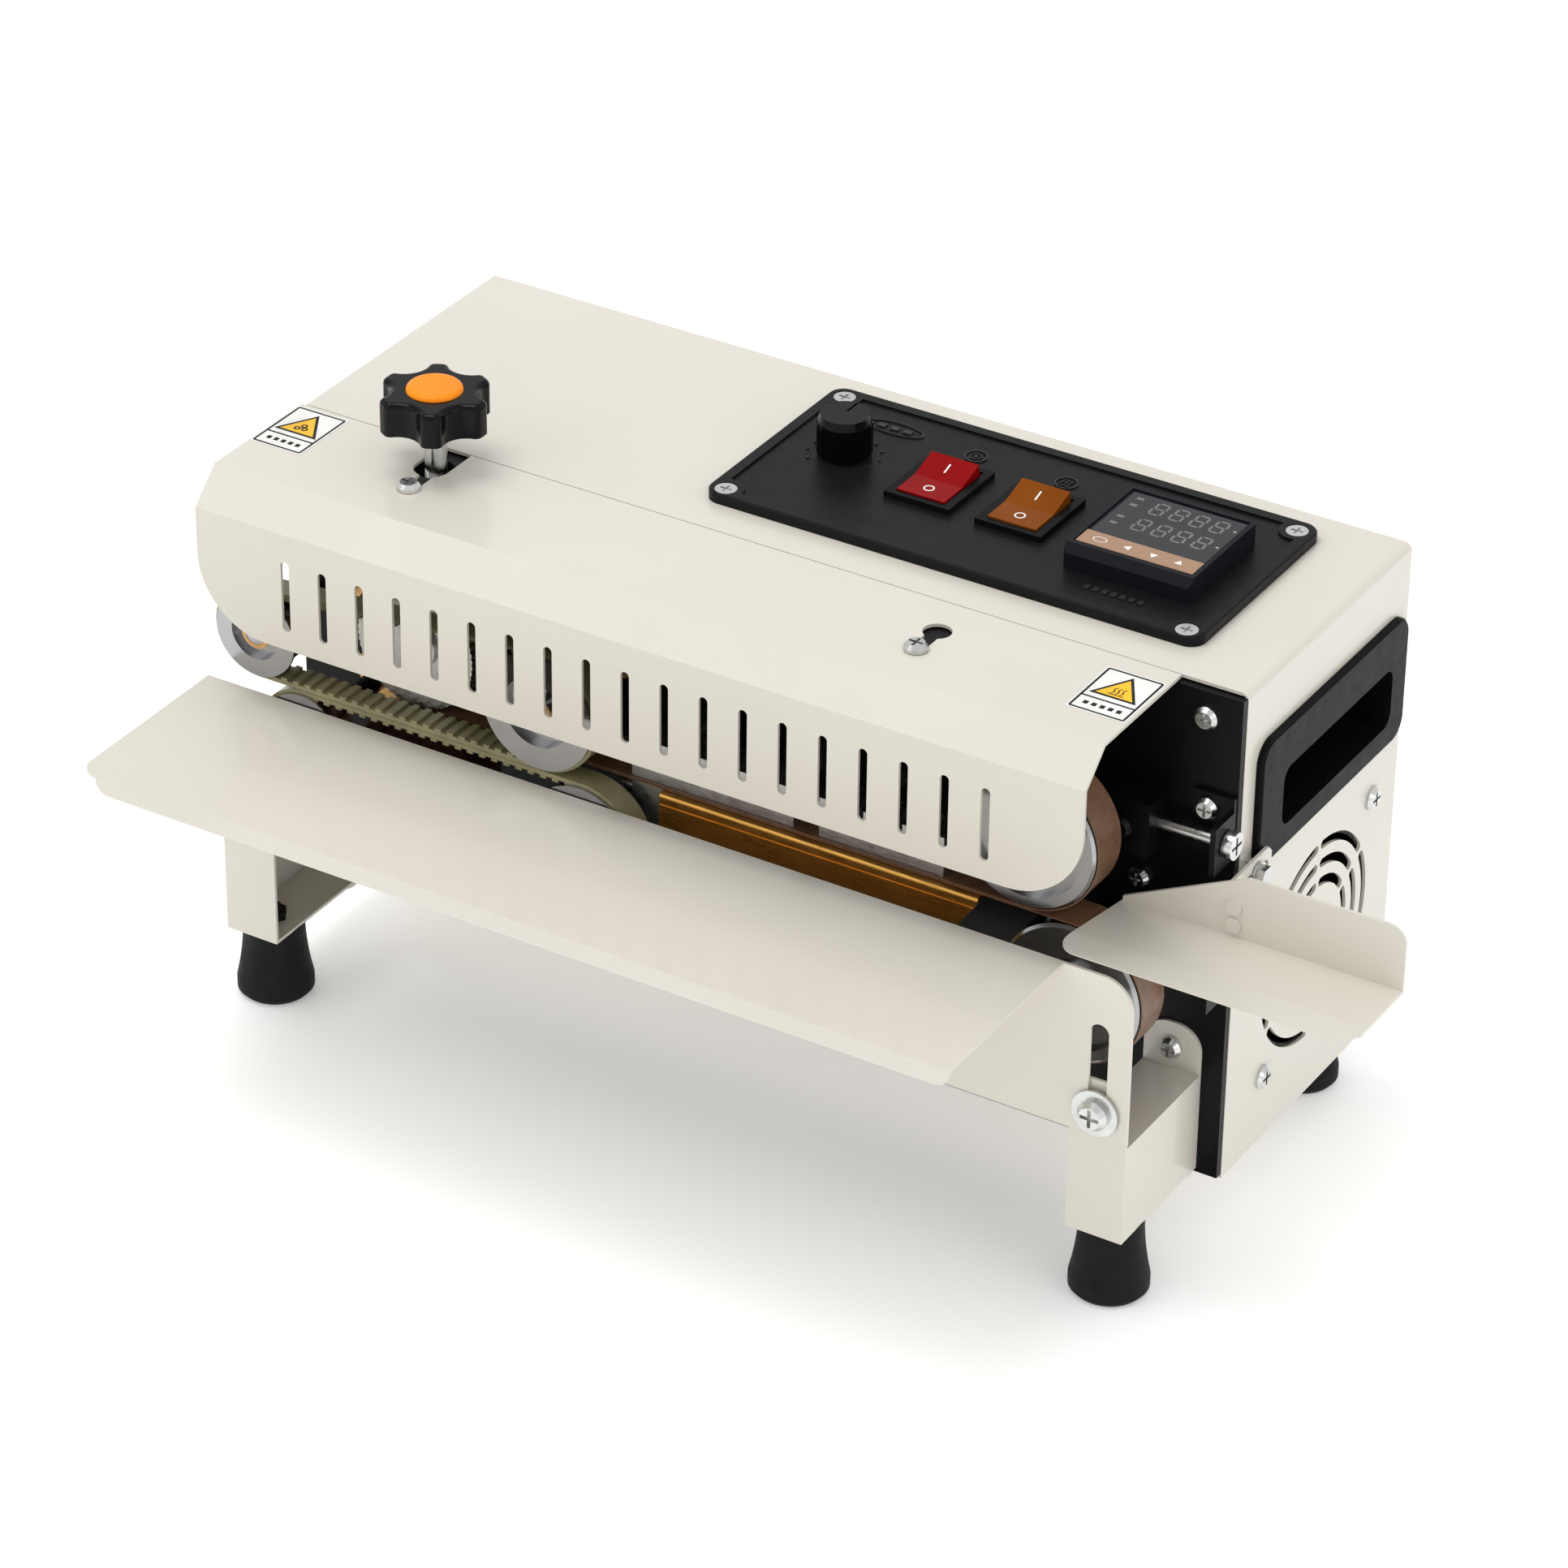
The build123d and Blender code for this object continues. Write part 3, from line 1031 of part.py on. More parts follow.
def tension_block(x, z):
    """Sliding block of an entry wheel, with the wheel's axle and its retaining head."""
    with BuildPart() as slider:
        block(x - 13, TENSION_END, TENSION_FRONT, TENSION_BACK, z - 10, z + 10)
        pin(x, z, TENSION_FRONT + 1, SEAL_BELT_FRONT - 1.7, AXLE)
        pin(x, z, TENSION_FRONT, SEAL_BELT_BACK + 0.9, 8.5)
        pin(x, z, SEAL_BELT_FRONT - 1.7, SEAL_BELT_FRONT - 3.4, 8.0)
        rod(spot(side(TENSION_END - 14), TENSION_Y, z), 2.1, 16, Mode.SUBTRACT)
        if TENSION_END - x > 20:
            pan_screw(spot(front(TENSION_FRONT), x + 22.5, z), 3.8, 3.2, 1.6, 1.0)
    return slider.part


def tension_screw(z):
    """Screw along X that pulls a tension block towards its bracket."""
    with BuildPart() as screw:
        start = TENSION_END - 8
        rod(spot(side(start), TENSION_Y, z), 2.0, TENSION_TAB + 2.3 - start)
        with BuildSketch(spot(side(TENSION_TAB + 2.3), TENSION_Y, z)):
            Circle(4.8)
        extrude(amount=3.6)
        with BuildSketch(spot(side(TENSION_TAB + 4.4), TENSION_Y, z)):
            Rectangle(6.8, 1.1)
            Rectangle(1.1, 6.8)
        extrude(amount=3, mode=Mode.SUBTRACT)
    return screw.part


save(tension_block(UPPER_ENTRY_X, UPPER_ENTRY_Z), "upper_tension_block")
save(tension_block(LOWER_ENTRY_X, LOWER_ENTRY_Z), "lower_tension_block")
save(tension_screw(UPPER_ENTRY_Z), "upper_tension_screw")
save(tension_screw(LOWER_ENTRY_Z), "lower_tension_screw")

with BuildPart() as tension_brackets:
    for z in (UPPER_ENTRY_Z, LOWER_ENTRY_Z):
        block(TENSION_TAB, TENSION_TAB + 2, TENSION_FRONT, PLATE_FRONT, z - 9, z + 9)
        block(TENSION_TAB - 13, TENSION_TAB + 2, PLATE_FRONT - 2, PLATE_FRONT, z - 9, z + 14)
        rod(spot(side(TENSION_TAB - 1), TENSION_Y, z), 2.1, 4, Mode.SUBTRACT)
save(tension_brackets.part, "tension_brackets")

# ---------------------------------------------------------------- drive and electrics
with BuildPart() as gear_motor:
    block(ROLLER_X - 22, ROLLER_X + 22, GEARBOX_FRONT, GEARBOX_BACK, LOWER_ROLLER_Z - 22, LOWER_ROLLER_Z + 22)
    rod(spot(rear(GEARBOX_BACK), -ROLLER_X, LOWER_ROLLER_Z), MOTOR_RADIUS, MOTOR_BACK - GEARBOX_BACK)
    rod(spot(rear(GEARBOX_BACK), -ROLLER_X, LOWER_ROLLER_Z), MOTOR_RADIUS + 1.2, 6)
    pin(ROLLER_X, LOWER_ROLLER_Z, GEARBOX_FRONT + 10, GEARBOX_FRONT - 1, SHAFT_BORE, Mode.SUBTRACT)
    # Feet that stand on the base plate
    for x in (ROLLER_X - 19, ROLLER_X + 19):
        block(x - 3, x + 3, GEARBOX_FRONT + 2, GEARBOX_BACK - 2, HOUSING_BOTTOM + SHEET, LOWER_ROLLER_Z - 22)
        block(x - 7, x + 7, GEARBOX_FRONT + 2, GEARBOX_BACK - 2, HOUSING_BOTTOM + SHEET, HOUSING_BOTTOM + 4)
save(gear_motor.part, "gear_motor")

with BuildPart() as control_board:
    floor = HOUSING_BOTTOM + SHEET
    block(-60, 50, -10, 70, floor + 8, floor + 9.6)
    for x in (-55, 45):
        for y in (-5, 65):
            rod(spot(level(floor), x, y), 3, 8)
    block(-50, -22, 20, 60, floor + 9.6, floor + 34)
    block(-10, 12, 30, 62, floor + 9.6, floor + 24)
    block(22, 46, 0, 12, floor + 9.6, floor + 20)
    for x in (-10, 5):
        rod(spot(level(floor + 9.6), x, 5), 6, 22)
save(control_board.part, "control_board")

with BuildPart() as fan_frame:
    with BuildSketch(side(HALF_LENGTH - SHEET - 25)):
        with Locations((FAN_Y, FAN_Z)):
            RectangleRounded(80, 80, 4)
            Circle(37.5, mode=Mode.SUBTRACT)
            with GridLocations(71.5, 71.5, 2, 2):
                Circle(2.1, mode=Mode.SUBTRACT)
    extrude(amount=25)
    with BuildSketch(side(HALF_LENGTH - SHEET - 25)):
        with Locations((FAN_Y, FAN_Z)):
            Circle(15)
            Rectangle(78, 3)
            Rectangle(3, 78)
    extrude(amount=3)
    rod(spot(side(HALF_LENGTH - SHEET - 22), FAN_Y, FAN_Z), 2.0, 14)
save(fan_frame.part, "fan_frame")

with BuildPart() as fan_rotor:
    start = HALF_LENGTH - SHEET - 21.2
    with BuildSketch(side(start)):
        with Locations((FAN_Y, FAN_Z)):
            Circle(16)
    extrude(amount=17)
    with BuildSketch(side(start + 4)):
        with Locations((FAN_Y, FAN_Z)):
            with PolarLocations(25, 7):
                Rectangle(21, 2.2, rotation=28)
    extrude(amount=11)
    rod(spot(side(start - 1), FAN_Y, FAN_Z), 2.06, 16.5, Mode.SUBTRACT)
save(fan_rotor.part, "fan_rotor")

with BuildPart() as power_inlet:
    with BuildSketch(rear(REAR_PANEL_BACK)):
        with Locations((-INLET_X, INLET_Z)):
            RectangleRounded(34, 53, 3)
    extrude(amount=REAR_END - REAR_PANEL_BACK)
    with BuildSketch(rear(REAR_PANEL_BACK)):
        with Locations((-INLET_X, INLET_Z)):
            Rectangle(27.6, 46.6)
    extrude(amount=-22)
    # Socket with three pins, and the fuse drawer above it
    with BuildSketch(rear(REAR_END + 1)):
        with Locations((-INLET_X, INLET_Z - 10)):
            RectangleRounded(24, 16.5, 3)
    extrude(amount=-17, mode=Mode.SUBTRACT)
    for x, z in ((-7, -12), (7, -12), (0, -8)):
        with Locations(spot(rear(REAR_END - 17), -INLET_X + x, INLET_Z + z)):
            Box(2, 4, 14, align=STANDING)
    block(INLET_X - 9, INLET_X + 9, REAR_END - 1, REAR_END + 1, INLET_Z + 6, INLET_Z + 17, Mode.SUBTRACT)
    block(INLET_X - 8.4, INLET_X + 8.4, REAR_END - 1.2, REAR_END - 0.3, INLET_Z + 6.6, INLET_Z + 16.4)
save(power_inlet.part, "power_inlet")
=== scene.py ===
import math

import bpy
from mathutils import Matrix, Vector


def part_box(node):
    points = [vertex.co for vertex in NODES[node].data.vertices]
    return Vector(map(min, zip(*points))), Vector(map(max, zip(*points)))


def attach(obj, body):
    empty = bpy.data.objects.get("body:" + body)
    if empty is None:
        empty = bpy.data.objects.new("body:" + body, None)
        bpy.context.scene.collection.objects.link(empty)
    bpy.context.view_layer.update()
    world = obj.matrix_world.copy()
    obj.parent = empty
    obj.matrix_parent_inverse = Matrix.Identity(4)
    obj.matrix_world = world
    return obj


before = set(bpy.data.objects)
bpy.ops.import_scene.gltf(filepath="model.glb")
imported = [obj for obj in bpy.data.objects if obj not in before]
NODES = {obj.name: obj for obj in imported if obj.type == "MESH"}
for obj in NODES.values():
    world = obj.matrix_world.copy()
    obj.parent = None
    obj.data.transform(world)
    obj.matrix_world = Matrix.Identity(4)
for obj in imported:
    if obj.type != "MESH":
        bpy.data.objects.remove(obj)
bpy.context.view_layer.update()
MM = 0.001

# ---------------------------------------------------------------- shader helpers

# Nearly all noise values lie between these two
NOISE_LOW, NOISE_HIGH = 0.3, 0.7
MIN_ROUGH = 0.02
# The colour sockets of a Mix node in RGBA mode
MIX_FACTOR, MIX_A, MIX_B, MIX_RESULT = 0, 6, 7, 2


class Shader:
    """A principled material under construction, with short ways to add what varies over it."""

    def __init__(self, name, color, rough, metal=0.0, **inputs):
        self.material = bpy.data.materials.new(name)
        self.material.use_nodes = True
        self.nodes = self.material.node_tree.nodes
        self.links = self.material.node_tree.links
        self.bsdf = self.nodes["Principled BSDF"]
        self.color = color
        self.rough = rough
        self.bsdf.inputs["Metallic"].default_value = metal
        self.bsdf.inputs["Base Color"].default_value = (*color, 1.0)
        self.bsdf.inputs["Roughness"].default_value = rough
        for key, value in inputs.items():
            self.bsdf.inputs[key.replace("_", " ")].default_value = value
        self.coords = self.nodes.new("ShaderNodeTexCoord").outputs["Object"]

    def noise(self, scale, detail=3.0, rough=0.55, stretch=(1, 1, 1)):
        """Noise in the object's own coordinates; stretch squeezes it along an axis."""
        mapping = self.nodes.new("ShaderNodeMapping")
        mapping.inputs["Scale"].default_value = stretch
        self.links.new(self.coords, mapping.inputs["Vector"])
        noise = self.nodes.new("ShaderNodeTexNoise")
        noise.inputs["Scale"].default_value = scale
        noise.inputs["Detail"].default_value = detail
        noise.inputs["Roughness"].default_value = rough
        self.links.new(mapping.outputs["Vector"], noise.inputs["Vector"])
        return noise.outputs["Fac"]

    def spread(self, value, low, high):
        """Maps a texture value onto low to high."""
        span = self.nodes.new("ShaderNodeMapRange")
        span.inputs["From Min"].default_value = NOISE_LOW
        span.inputs["From Max"].default_value = NOISE_HIGH
        span.inputs["To Min"].default_value = low
        span.inputs["To Max"].default_value = high
        self.links.new(value, span.inputs["Value"])
        return span.outputs["Result"]

    def tint(self, value, amount):
        """Base colour drifts lighter and darker by amount."""
        mix = self.nodes.new("ShaderNodeMix")
        mix.data_type = "RGBA"
        darker = [channel * (1 - amount) for channel in self.color]
        lighter = [min(1.0, channel * (1 + amount)) for channel in self.color]
        mix.inputs[MIX_A].default_value = (*darker, 1.0)
        mix.inputs[MIX_B].default_value = (*lighter, 1.0)
        self.links.new(self.spread(value, 0.0, 1.0), mix.inputs[MIX_FACTOR])
        self.links.new(mix.outputs[MIX_RESULT], self.bsdf.inputs["Base Color"])

    def polish(self, value, amount):
        """Roughness drifts by amount either way."""
        smoothest = max(MIN_ROUGH, self.rough - amount)
        roughest = min(1.0, self.rough + amount)
        self.links.new(self.spread(value, smoothest, roughest), self.bsdf.inputs["Roughness"])

    def bump(self, value, strength, depth):
        """Raises the surface by up to depth metres."""
        bump = self.nodes.new("ShaderNodeBump")
        bump.inputs["Strength"].default_value = strength
        bump.inputs["Distance"].default_value = depth
        self.links.new(value, bump.inputs["Height"])
        self.links.new(bump.outputs["Normal"], self.bsdf.inputs["Normal"])


def paint(name, color, rough=0.32, coat=0.35, shine=0.5):
    """Powder coat: faint orange peel under a clear gloss."""
    look = Shader(name, color, rough,
                  Coat_Weight=coat, Coat_Roughness=0.12, Specular_IOR_Level=shine)
    look.tint(look.noise(scale=14.0, detail=2.0), amount=0.015)
    look.polish(look.noise(scale=60.0), amount=0.04)
    look.bump(look.noise(scale=900.0, detail=1.0), strength=0.10, depth=0.08 * MM)
    return look.material


def plastic(name, color, rough, grain, relief, coat=0.0, shine=0.22):
    """Moulded plastic with a fine grain."""
    look = Shader(name, color, rough,
                  Coat_Weight=coat, Coat_Roughness=0.06, Specular_IOR_Level=shine)
    look.tint(look.noise(scale=45.0, detail=2.0), amount=0.10)
    look.polish(look.noise(scale=180.0), amount=0.05)
    look.bump(look.noise(scale=grain, detail=2.0), strength=relief, depth=0.08 * MM)
    return look.material


def metal(name, color, rough, stretch=(1, 1, 1), grain=900.0, relief=0.12, tone=0.08):
    """Bare or plated metal; stretch lines the grain up along one direction."""
    look = Shader(name, color, rough, metal=1.0)
    look.tint(look.noise(scale=70.0), amount=tone)
    look.polish(look.noise(grain, rough=0.6, stretch=stretch), amount=rough * 0.35)
    look.bump(look.noise(grain, rough=0.6, stretch=stretch), strength=relief, depth=0.06 * MM)
    return look.material


def turned(name, color, rough, centre):
    """Metal turned in a lathe about Y: fine rings round a centre."""
    look = Shader(name, color, rough, metal=1.0)
    mapping = look.nodes.new("ShaderNodeMapping")
    mapping.inputs["Location"].default_value = (-centre[0], 0, -centre[2])
    look.links.new(look.coords, mapping.inputs["Vector"])
    flatten = look.nodes.new("ShaderNodeVectorMath")
    flatten.operation = "MULTIPLY"
    flatten.inputs[1].default_value = (1, 0, 1)
    look.links.new(mapping.outputs["Vector"], flatten.inputs[0])
    length = look.nodes.new("ShaderNodeVectorMath")
    length.operation = "LENGTH"
    look.links.new(flatten.outputs["Vector"], length.inputs[0])
    rings = look.nodes.new("ShaderNodeTexNoise")
    rings.noise_dimensions = "1D"
    rings.inputs["Scale"].default_value = 4000.0
    look.links.new(length.outputs["Value"], rings.inputs["W"])
    look.polish(rings.outputs["Fac"], amount=rough * 0.5)
    look.bump(rings.outputs["Fac"], strength=0.25, depth=0.04 * MM)
    look.tint(look.noise(scale=60.0), amount=0.05)
    return look.material


def rubber(name, color, rough):
    """Dull rubber with specks of dust."""
    look = Shader(name, color, rough, Specular_IOR_Level=0.15)
    look.tint(look.noise(scale=120.0, detail=4.0), amount=0.25)
    look.polish(look.noise(scale=90.0), amount=0.08)
    look.bump(look.noise(scale=1500.0), strength=0.3, depth=0.12 * MM)
    return look.material


def urethane(name, color, rough):
    """Cast belt plastic that lets a little light in."""
    look = Shader(name, color, rough, Transmission_Weight=0.12, Coat_Weight=0.2)
    look.tint(look.noise(scale=90.0), amount=0.16)
    look.polish(look.noise(scale=300.0), amount=0.07)
    look.bump(look.noise(scale=900.0), strength=0.15, depth=0.1 * MM)
    return look.material


def weave(name, color, rough):
    """Coated glass cloth: a fine weave under a smooth skin."""
    look = Shader(name, color, rough, Coat_Weight=0.3, Coat_Roughness=0.25)
    look.tint(look.noise(scale=160.0, detail=4.0, rough=0.7), amount=0.22)
    waves = look.nodes.new("ShaderNodeTexWave")
    waves.inputs["Scale"].default_value = 480.0
    waves.inputs["Distortion"].default_value = 0.4
    look.links.new(look.coords, waves.inputs["Vector"])
    look.bump(waves.outputs["Fac"], strength=0.15, depth=0.08 * MM)
    look.polish(look.noise(scale=220.0), amount=0.08)
    return look.material


def foil(name, color, rough):
    """Half-metallic printed strip, brushed along its length."""
    look = Shader(name, color, rough, metal=0.45)
    look.tint(look.noise(scale=220.0, rough=0.6, stretch=(1, 9, 1)), amount=0.08)
    look.bump(look.noise(scale=900.0), strength=0.1, depth=0.06 * MM)
    return look.material


# ---------------------------------------------------------------- materials of the CAD nodes

LOOKS = {
    paint("cream_paint", (0.655, 0.622, 0.548)):
        "housing_shell rear_panel base_plate front_cover work_table support_arm_left "
        "support_arm_right bag_guide_tray tray_bracket",
    paint("black_plate_paint", (0.004, 0.004, 0.005), rough=0.36, coat=0.02, shine=0.12):
        "front_plate tension_brackets upper_tension_block lower_tension_block",
    plastic("panel_texture", (0.008, 0.008, 0.009), 0.36, grain=1100.0, relief=0.8, shine=0.10):
        "control_panel",
    plastic("black_plastic", (0.005, 0.005, 0.006), 0.38, grain=2200.0, relief=0.3, shine=0.06):
        "switch_bodies handle_right handle_left fan_frame fan_rotor power_inlet",
    plastic("knob_gloss", (0.002, 0.002, 0.003), 0.16, grain=600.0, relief=0.06,
            coat=0.02, shine=0.14):
        "pressure_knob speed_knob",
    plastic("controller_bezel", (0.008, 0.009, 0.012), 0.3, grain=1800.0, relief=0.25, shine=0.08):
        "temperature_controller",
    plastic("cap_orange", (0.95, 0.26, 0.006), 0.22, grain=500.0, relief=0.08,
            coat=0.06, shine=0.12):
        "knob_cap",
    plastic("rocker_red", (0.24, 0.002, 0.003), 0.26, grain=500.0, relief=0.05, shine=0.06):
        "power_rocker",
    plastic("rocker_amber", (0.20, 0.050, 0.002), 0.26, grain=500.0, relief=0.05, shine=0.06):
        "heater_rocker",
    metal("zinc_plate", (0.62, 0.63, 0.62), 0.24, grain=420.0, relief=0.10, tone=0.12):
        "front_screws housing_screws panel_screws table_bolts pressure_screw upper_tension_screw "
        "lower_tension_screw speed_potentiometer press_bracket",
    metal("ground_steel", (0.55, 0.55, 0.54), 0.34, stretch=(1, 12, 1), grain=300.0, relief=0.2):
        "press_carriage thrust_cup pressure_spring heater_cartridges upper_press_roller",
    metal("machined_alloy", (0.62, 0.63, 0.64), 0.36, stretch=(1, 8, 8), grain=260.0, relief=0.25):
        "heating_blocks cooling_blocks",
    metal("gold_rail_finish", (0.64, 0.34, 0.08), 0.34, stretch=(0.6, 14, 14), grain=200.0,
          relief=0.18, tone=0.05):
        "bag_guide_rail",
    urethane("guide_belt_urethane", (0.31, 0.285, 0.15), 0.34): "upper_guide_belt lower_guide_belt",
    weave("sealing_belt_cloth", (0.17, 0.085, 0.045), 0.45):
        "upper_sealing_belt lower_sealing_belt",
    rubber("foot_rubber", (0.008, 0.008, 0.009), 0.62): "front_feet rear_feet",
    rubber("drive_belt_rubber", (0.02, 0.02, 0.02), 0.75): "transfer_belts",
    rubber("roller_silicone", (0.07, 0.032, 0.024), 0.5): "lower_press_roller",
    plastic("circuit_board", (0.012, 0.12, 0.045), 0.4, grain=300.0, relief=0.4): "control_board",
    paint("motor_paint", (0.09, 0.10, 0.11), rough=0.4, coat=0.2): "gear_motor",
}
bronze = metal("bronze_bush", (0.55, 0.33, 0.14), 0.42, relief=0.3)
LOOKS[bronze] = "shaft_bearings"


def wear(name, material):
    """Gives a CAD node one material."""
    mesh = NODES[name].data
    mesh.materials.clear()
    mesh.materials.append(material)


for material, names in LOOKS.items():
    for name in names.split():
        wear(name, material)

# The body that each guide wheel belongs to; the entry wheels carry the sealing belts
GUIDE_WHEELS = {
    "upper_exit_wheel": "upper_exit", "lower_exit_wheel": "lower_exit",
    "upper_middle_wheel": "upper_middle", "lower_middle_wheel": "lower_middle",
}
for name in [*GUIDE_WHEELS, "upper_entry_wheel", "lower_entry_wheel"]:
    low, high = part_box(name)
    centre = [(a + b) / 2 for a, b in zip(low, high)]
    wear(name, turned(name + "_turned", (0.38, 0.38, 0.39), 0.14, centre))

# Folded sheet and moulded edges catch a line of light; widths in millimetres
ROUNDED = {
    0.5: "housing_shell front_cover work_table power_rocker heater_rocker",
    0.4: "bag_guide_tray support_arm_left support_arm_right temperature_controller switch_bodies "
         "speed_knob",
    0.3: "bag_guide_rail tray_bracket control_panel",
}
SHARP_EDGE = math.radians(40)
for width, names in ROUNDED.items():
    for name in names.split():
        bevel = NODES[name].modifiers.new("soft_edges", "BEVEL")
        bevel.width = width * MM
        bevel.segments = 2
        bevel.limit_method = "ANGLE"
        bevel.angle_limit = SHARP_EDGE

# ---------------------------------------------------------------- flat pieces on a plane


class Sheet:
    """A plane to lay flat pieces on: an origin, two directions along it and its normal."""

    def __init__(self, origin, right, up):
        self.origin = Vector(origin)
        self.right = Vector(right).normalized()
        self.up = Vector(up).normalized()
        self.out = self.right.cross(self.up)

    def at(self, x, y, lift):
        return self.origin + self.right * x + self.up * y + self.out * lift


class Relief:
    """Prisms and rings on one sheet that become one mesh piece. All sizes are in metres."""

    def __init__(self, sheet):
        self.sheet = sheet
        self.verts = []
        self.faces = []

    def slab(self, outline, low, high):
        """Adds an upright prism over an outline, from low to high above the sheet."""
        first = len(self.verts)
        count = len(outline)
        self.verts.extend(self.sheet.at(x, y, low) for x, y in outline)
        self.verts.extend(self.sheet.at(x, y, high) for x, y in outline)
        self.faces.append(tuple(first + i for i in reversed(range(count))))
        self.faces.append(tuple(first + count + i for i in range(count)))
        for i in range(count):
            j = (i + 1) % count
            self.faces.append((first + i, first + j, first + count + j, first + count + i))

    def ring(self, centre, radius, width, low, high, turns=28, squash=1.0):
        """Adds a flat ring; squash below 1 makes it an oval."""
        first = len(self.verts)
        inner = radius - width
        for i in range(turns):
            angle = math.tau * i / turns
            for r, lift in ((radius, low), (radius, high), (inner, high), (inner, low)):
                x = centre[0] + r * math.cos(angle)
                y = centre[1] + r * math.sin(angle) * squash
                self.verts.append(self.sheet.at(x, y, lift))
        for i in range(turns):
            a = first + 4 * i
            b = first + 4 * ((i + 1) % turns)
            for k in range(4):
                m = (k + 1) % 4
                self.faces.append((a + k, b + k, b + m, a + m))

    def finish(self, name, material, body):
        """Makes the mesh piece, which rides on a CAD body."""
        mesh = bpy.data.meshes.new(name)
        mesh.from_pydata([tuple(v) for v in self.verts], [], self.faces)
        mesh.materials.append(material)
        piece = bpy.data.objects.new(name, mesh)
        bpy.context.scene.collection.objects.link(piece)
        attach(piece, body)


def rect(x, y, wide, high, slant=0.0):
    """Outline of a rectangle centred on x, y; slant leans its top to the right."""
    w, h = wide / 2, high / 2
    return [(x - w - slant, y - h), (x + w - slant, y - h),
            (x + w + slant, y + h), (x - w + slant, y + h)]


def polygon(x, y, radius, sides, start=0.0):
    """Outline of a regular polygon; start is the angle of its first corner in degrees."""
    angles = [math.radians(start) + math.tau * i / sides for i in range(sides)]
    return [(x + radius * math.cos(a), y + radius * math.sin(a)) for a in angles]


# Start angle of a triangle that stands on its base, in degrees
POINT_UP = -150


def printed(name, color, rough=0.4, coat=0.3):
    """Ink or a printed film, nearly smooth."""
    return plastic(name, color, rough, grain=900.0, relief=0.08, coat=coat)


white_print = printed("white_print", (0.78, 0.78, 0.76))
yellow_print = printed("yellow_print", (0.85, 0.48, 0.01))
black_print = printed("black_print", (0.006, 0.006, 0.006), rough=0.5, coat=0.0)
icon_black = plastic("icon_relief", (0.020, 0.020, 0.021), 0.3, grain=1500.0, relief=0.2)
window_dark = printed("display_window", (0.020, 0.022, 0.025), rough=0.2, coat=0.1)
digit_grey = printed("display_digits", (0.15, 0.155, 0.155), rough=0.3)
key_copper = foil("key_strip", (0.42, 0.25, 0.16), 0.34)

# ---------------------------------------------------------------- bushes in the guide wheels' hubs

HUB_SINK = 0.4 * MM
BUSH_RADIUS, BUSH_WALL, BUSH_LIFT = 5.7 * MM, 1.5 * MM, 0.3 * MM
for name, body in GUIDE_WHEELS.items():
    low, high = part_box(name)
    hub = ((low[0] + high[0]) / 2, low[1] + HUB_SINK, (low[2] + high[2]) / 2)
    bush = Relief(Sheet(hub, right=(1, 0, 0), up=(0, 0, 1)))
    bush.ring((0, 0), BUSH_RADIUS, BUSH_WALL, 0, BUSH_LIFT)
    bush.finish(name + "_bush", bronze, body)

# ---------------------------------------------------------------- stickers on the cover

# Clear of the cover by a hair, then one thin layer on another
STICKER_BASE = 0.02 * MM
STICKER_TOP = 0.15 * MM
INK_TOP = STICKER_TOP + 0.04 * MM
FILL_TOP = INK_TOP + 0.03 * MM
MARK_TOP = FILL_TOP + 0.03 * MM
FRAME_INSET = 1.0 * MM
FRAME_LINE = 0.8 * MM
RULE_INSET = 1.2 * MM
CAPTION_BARS = 5
# Shares of a sticker's depth: the triangle's middle, its outer and inner radius, the rule and
# caption below the middle, and a caption bar's height
TRIANGLE_MIDDLE, TRIANGLE_OUTER, TRIANGLE_INNER = 0.07, 0.34, 0.27
RULE_DROP, CAPTION_DROP, BAR_HEIGHT = 0.19, 0.325, 0.07
# Shares of its width: the caption bars' pitch and width
BAR_PITCH, BAR_WIDTH = 0.14, 0.08
cover_low, cover_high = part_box("front_cover")


def heat_sign(sign, middle, size):
    """Three wavy strokes over a bar; size is the sticker's depth."""
    for column in (-1, 0, 1):
        for row in (-1, 0, 1):
            lean = 0.012 * size if row % 2 else -0.012 * size
            y = middle + row * size * 0.045 - size * 0.01
            stroke = rect(column * size * 0.055, y, size * 0.016, size * 0.046, lean)
            sign.slab(stroke, FILL_TOP, MARK_TOP)
    sign.slab(rect(0, middle - size * 0.095, size * 0.2, size * 0.014), FILL_TOP, MARK_TOP)


def roller_sign(sign, middle, size):
    """Three small rings that touch, like rollers seen from their ends."""
    for x, y in ((-0.05, -0.045), (0.045, -0.03), (0.0, 0.035)):
        sign.ring((x * size, middle + y * size), size * 0.042, size * 0.022, FILL_TOP, MARK_TOP)


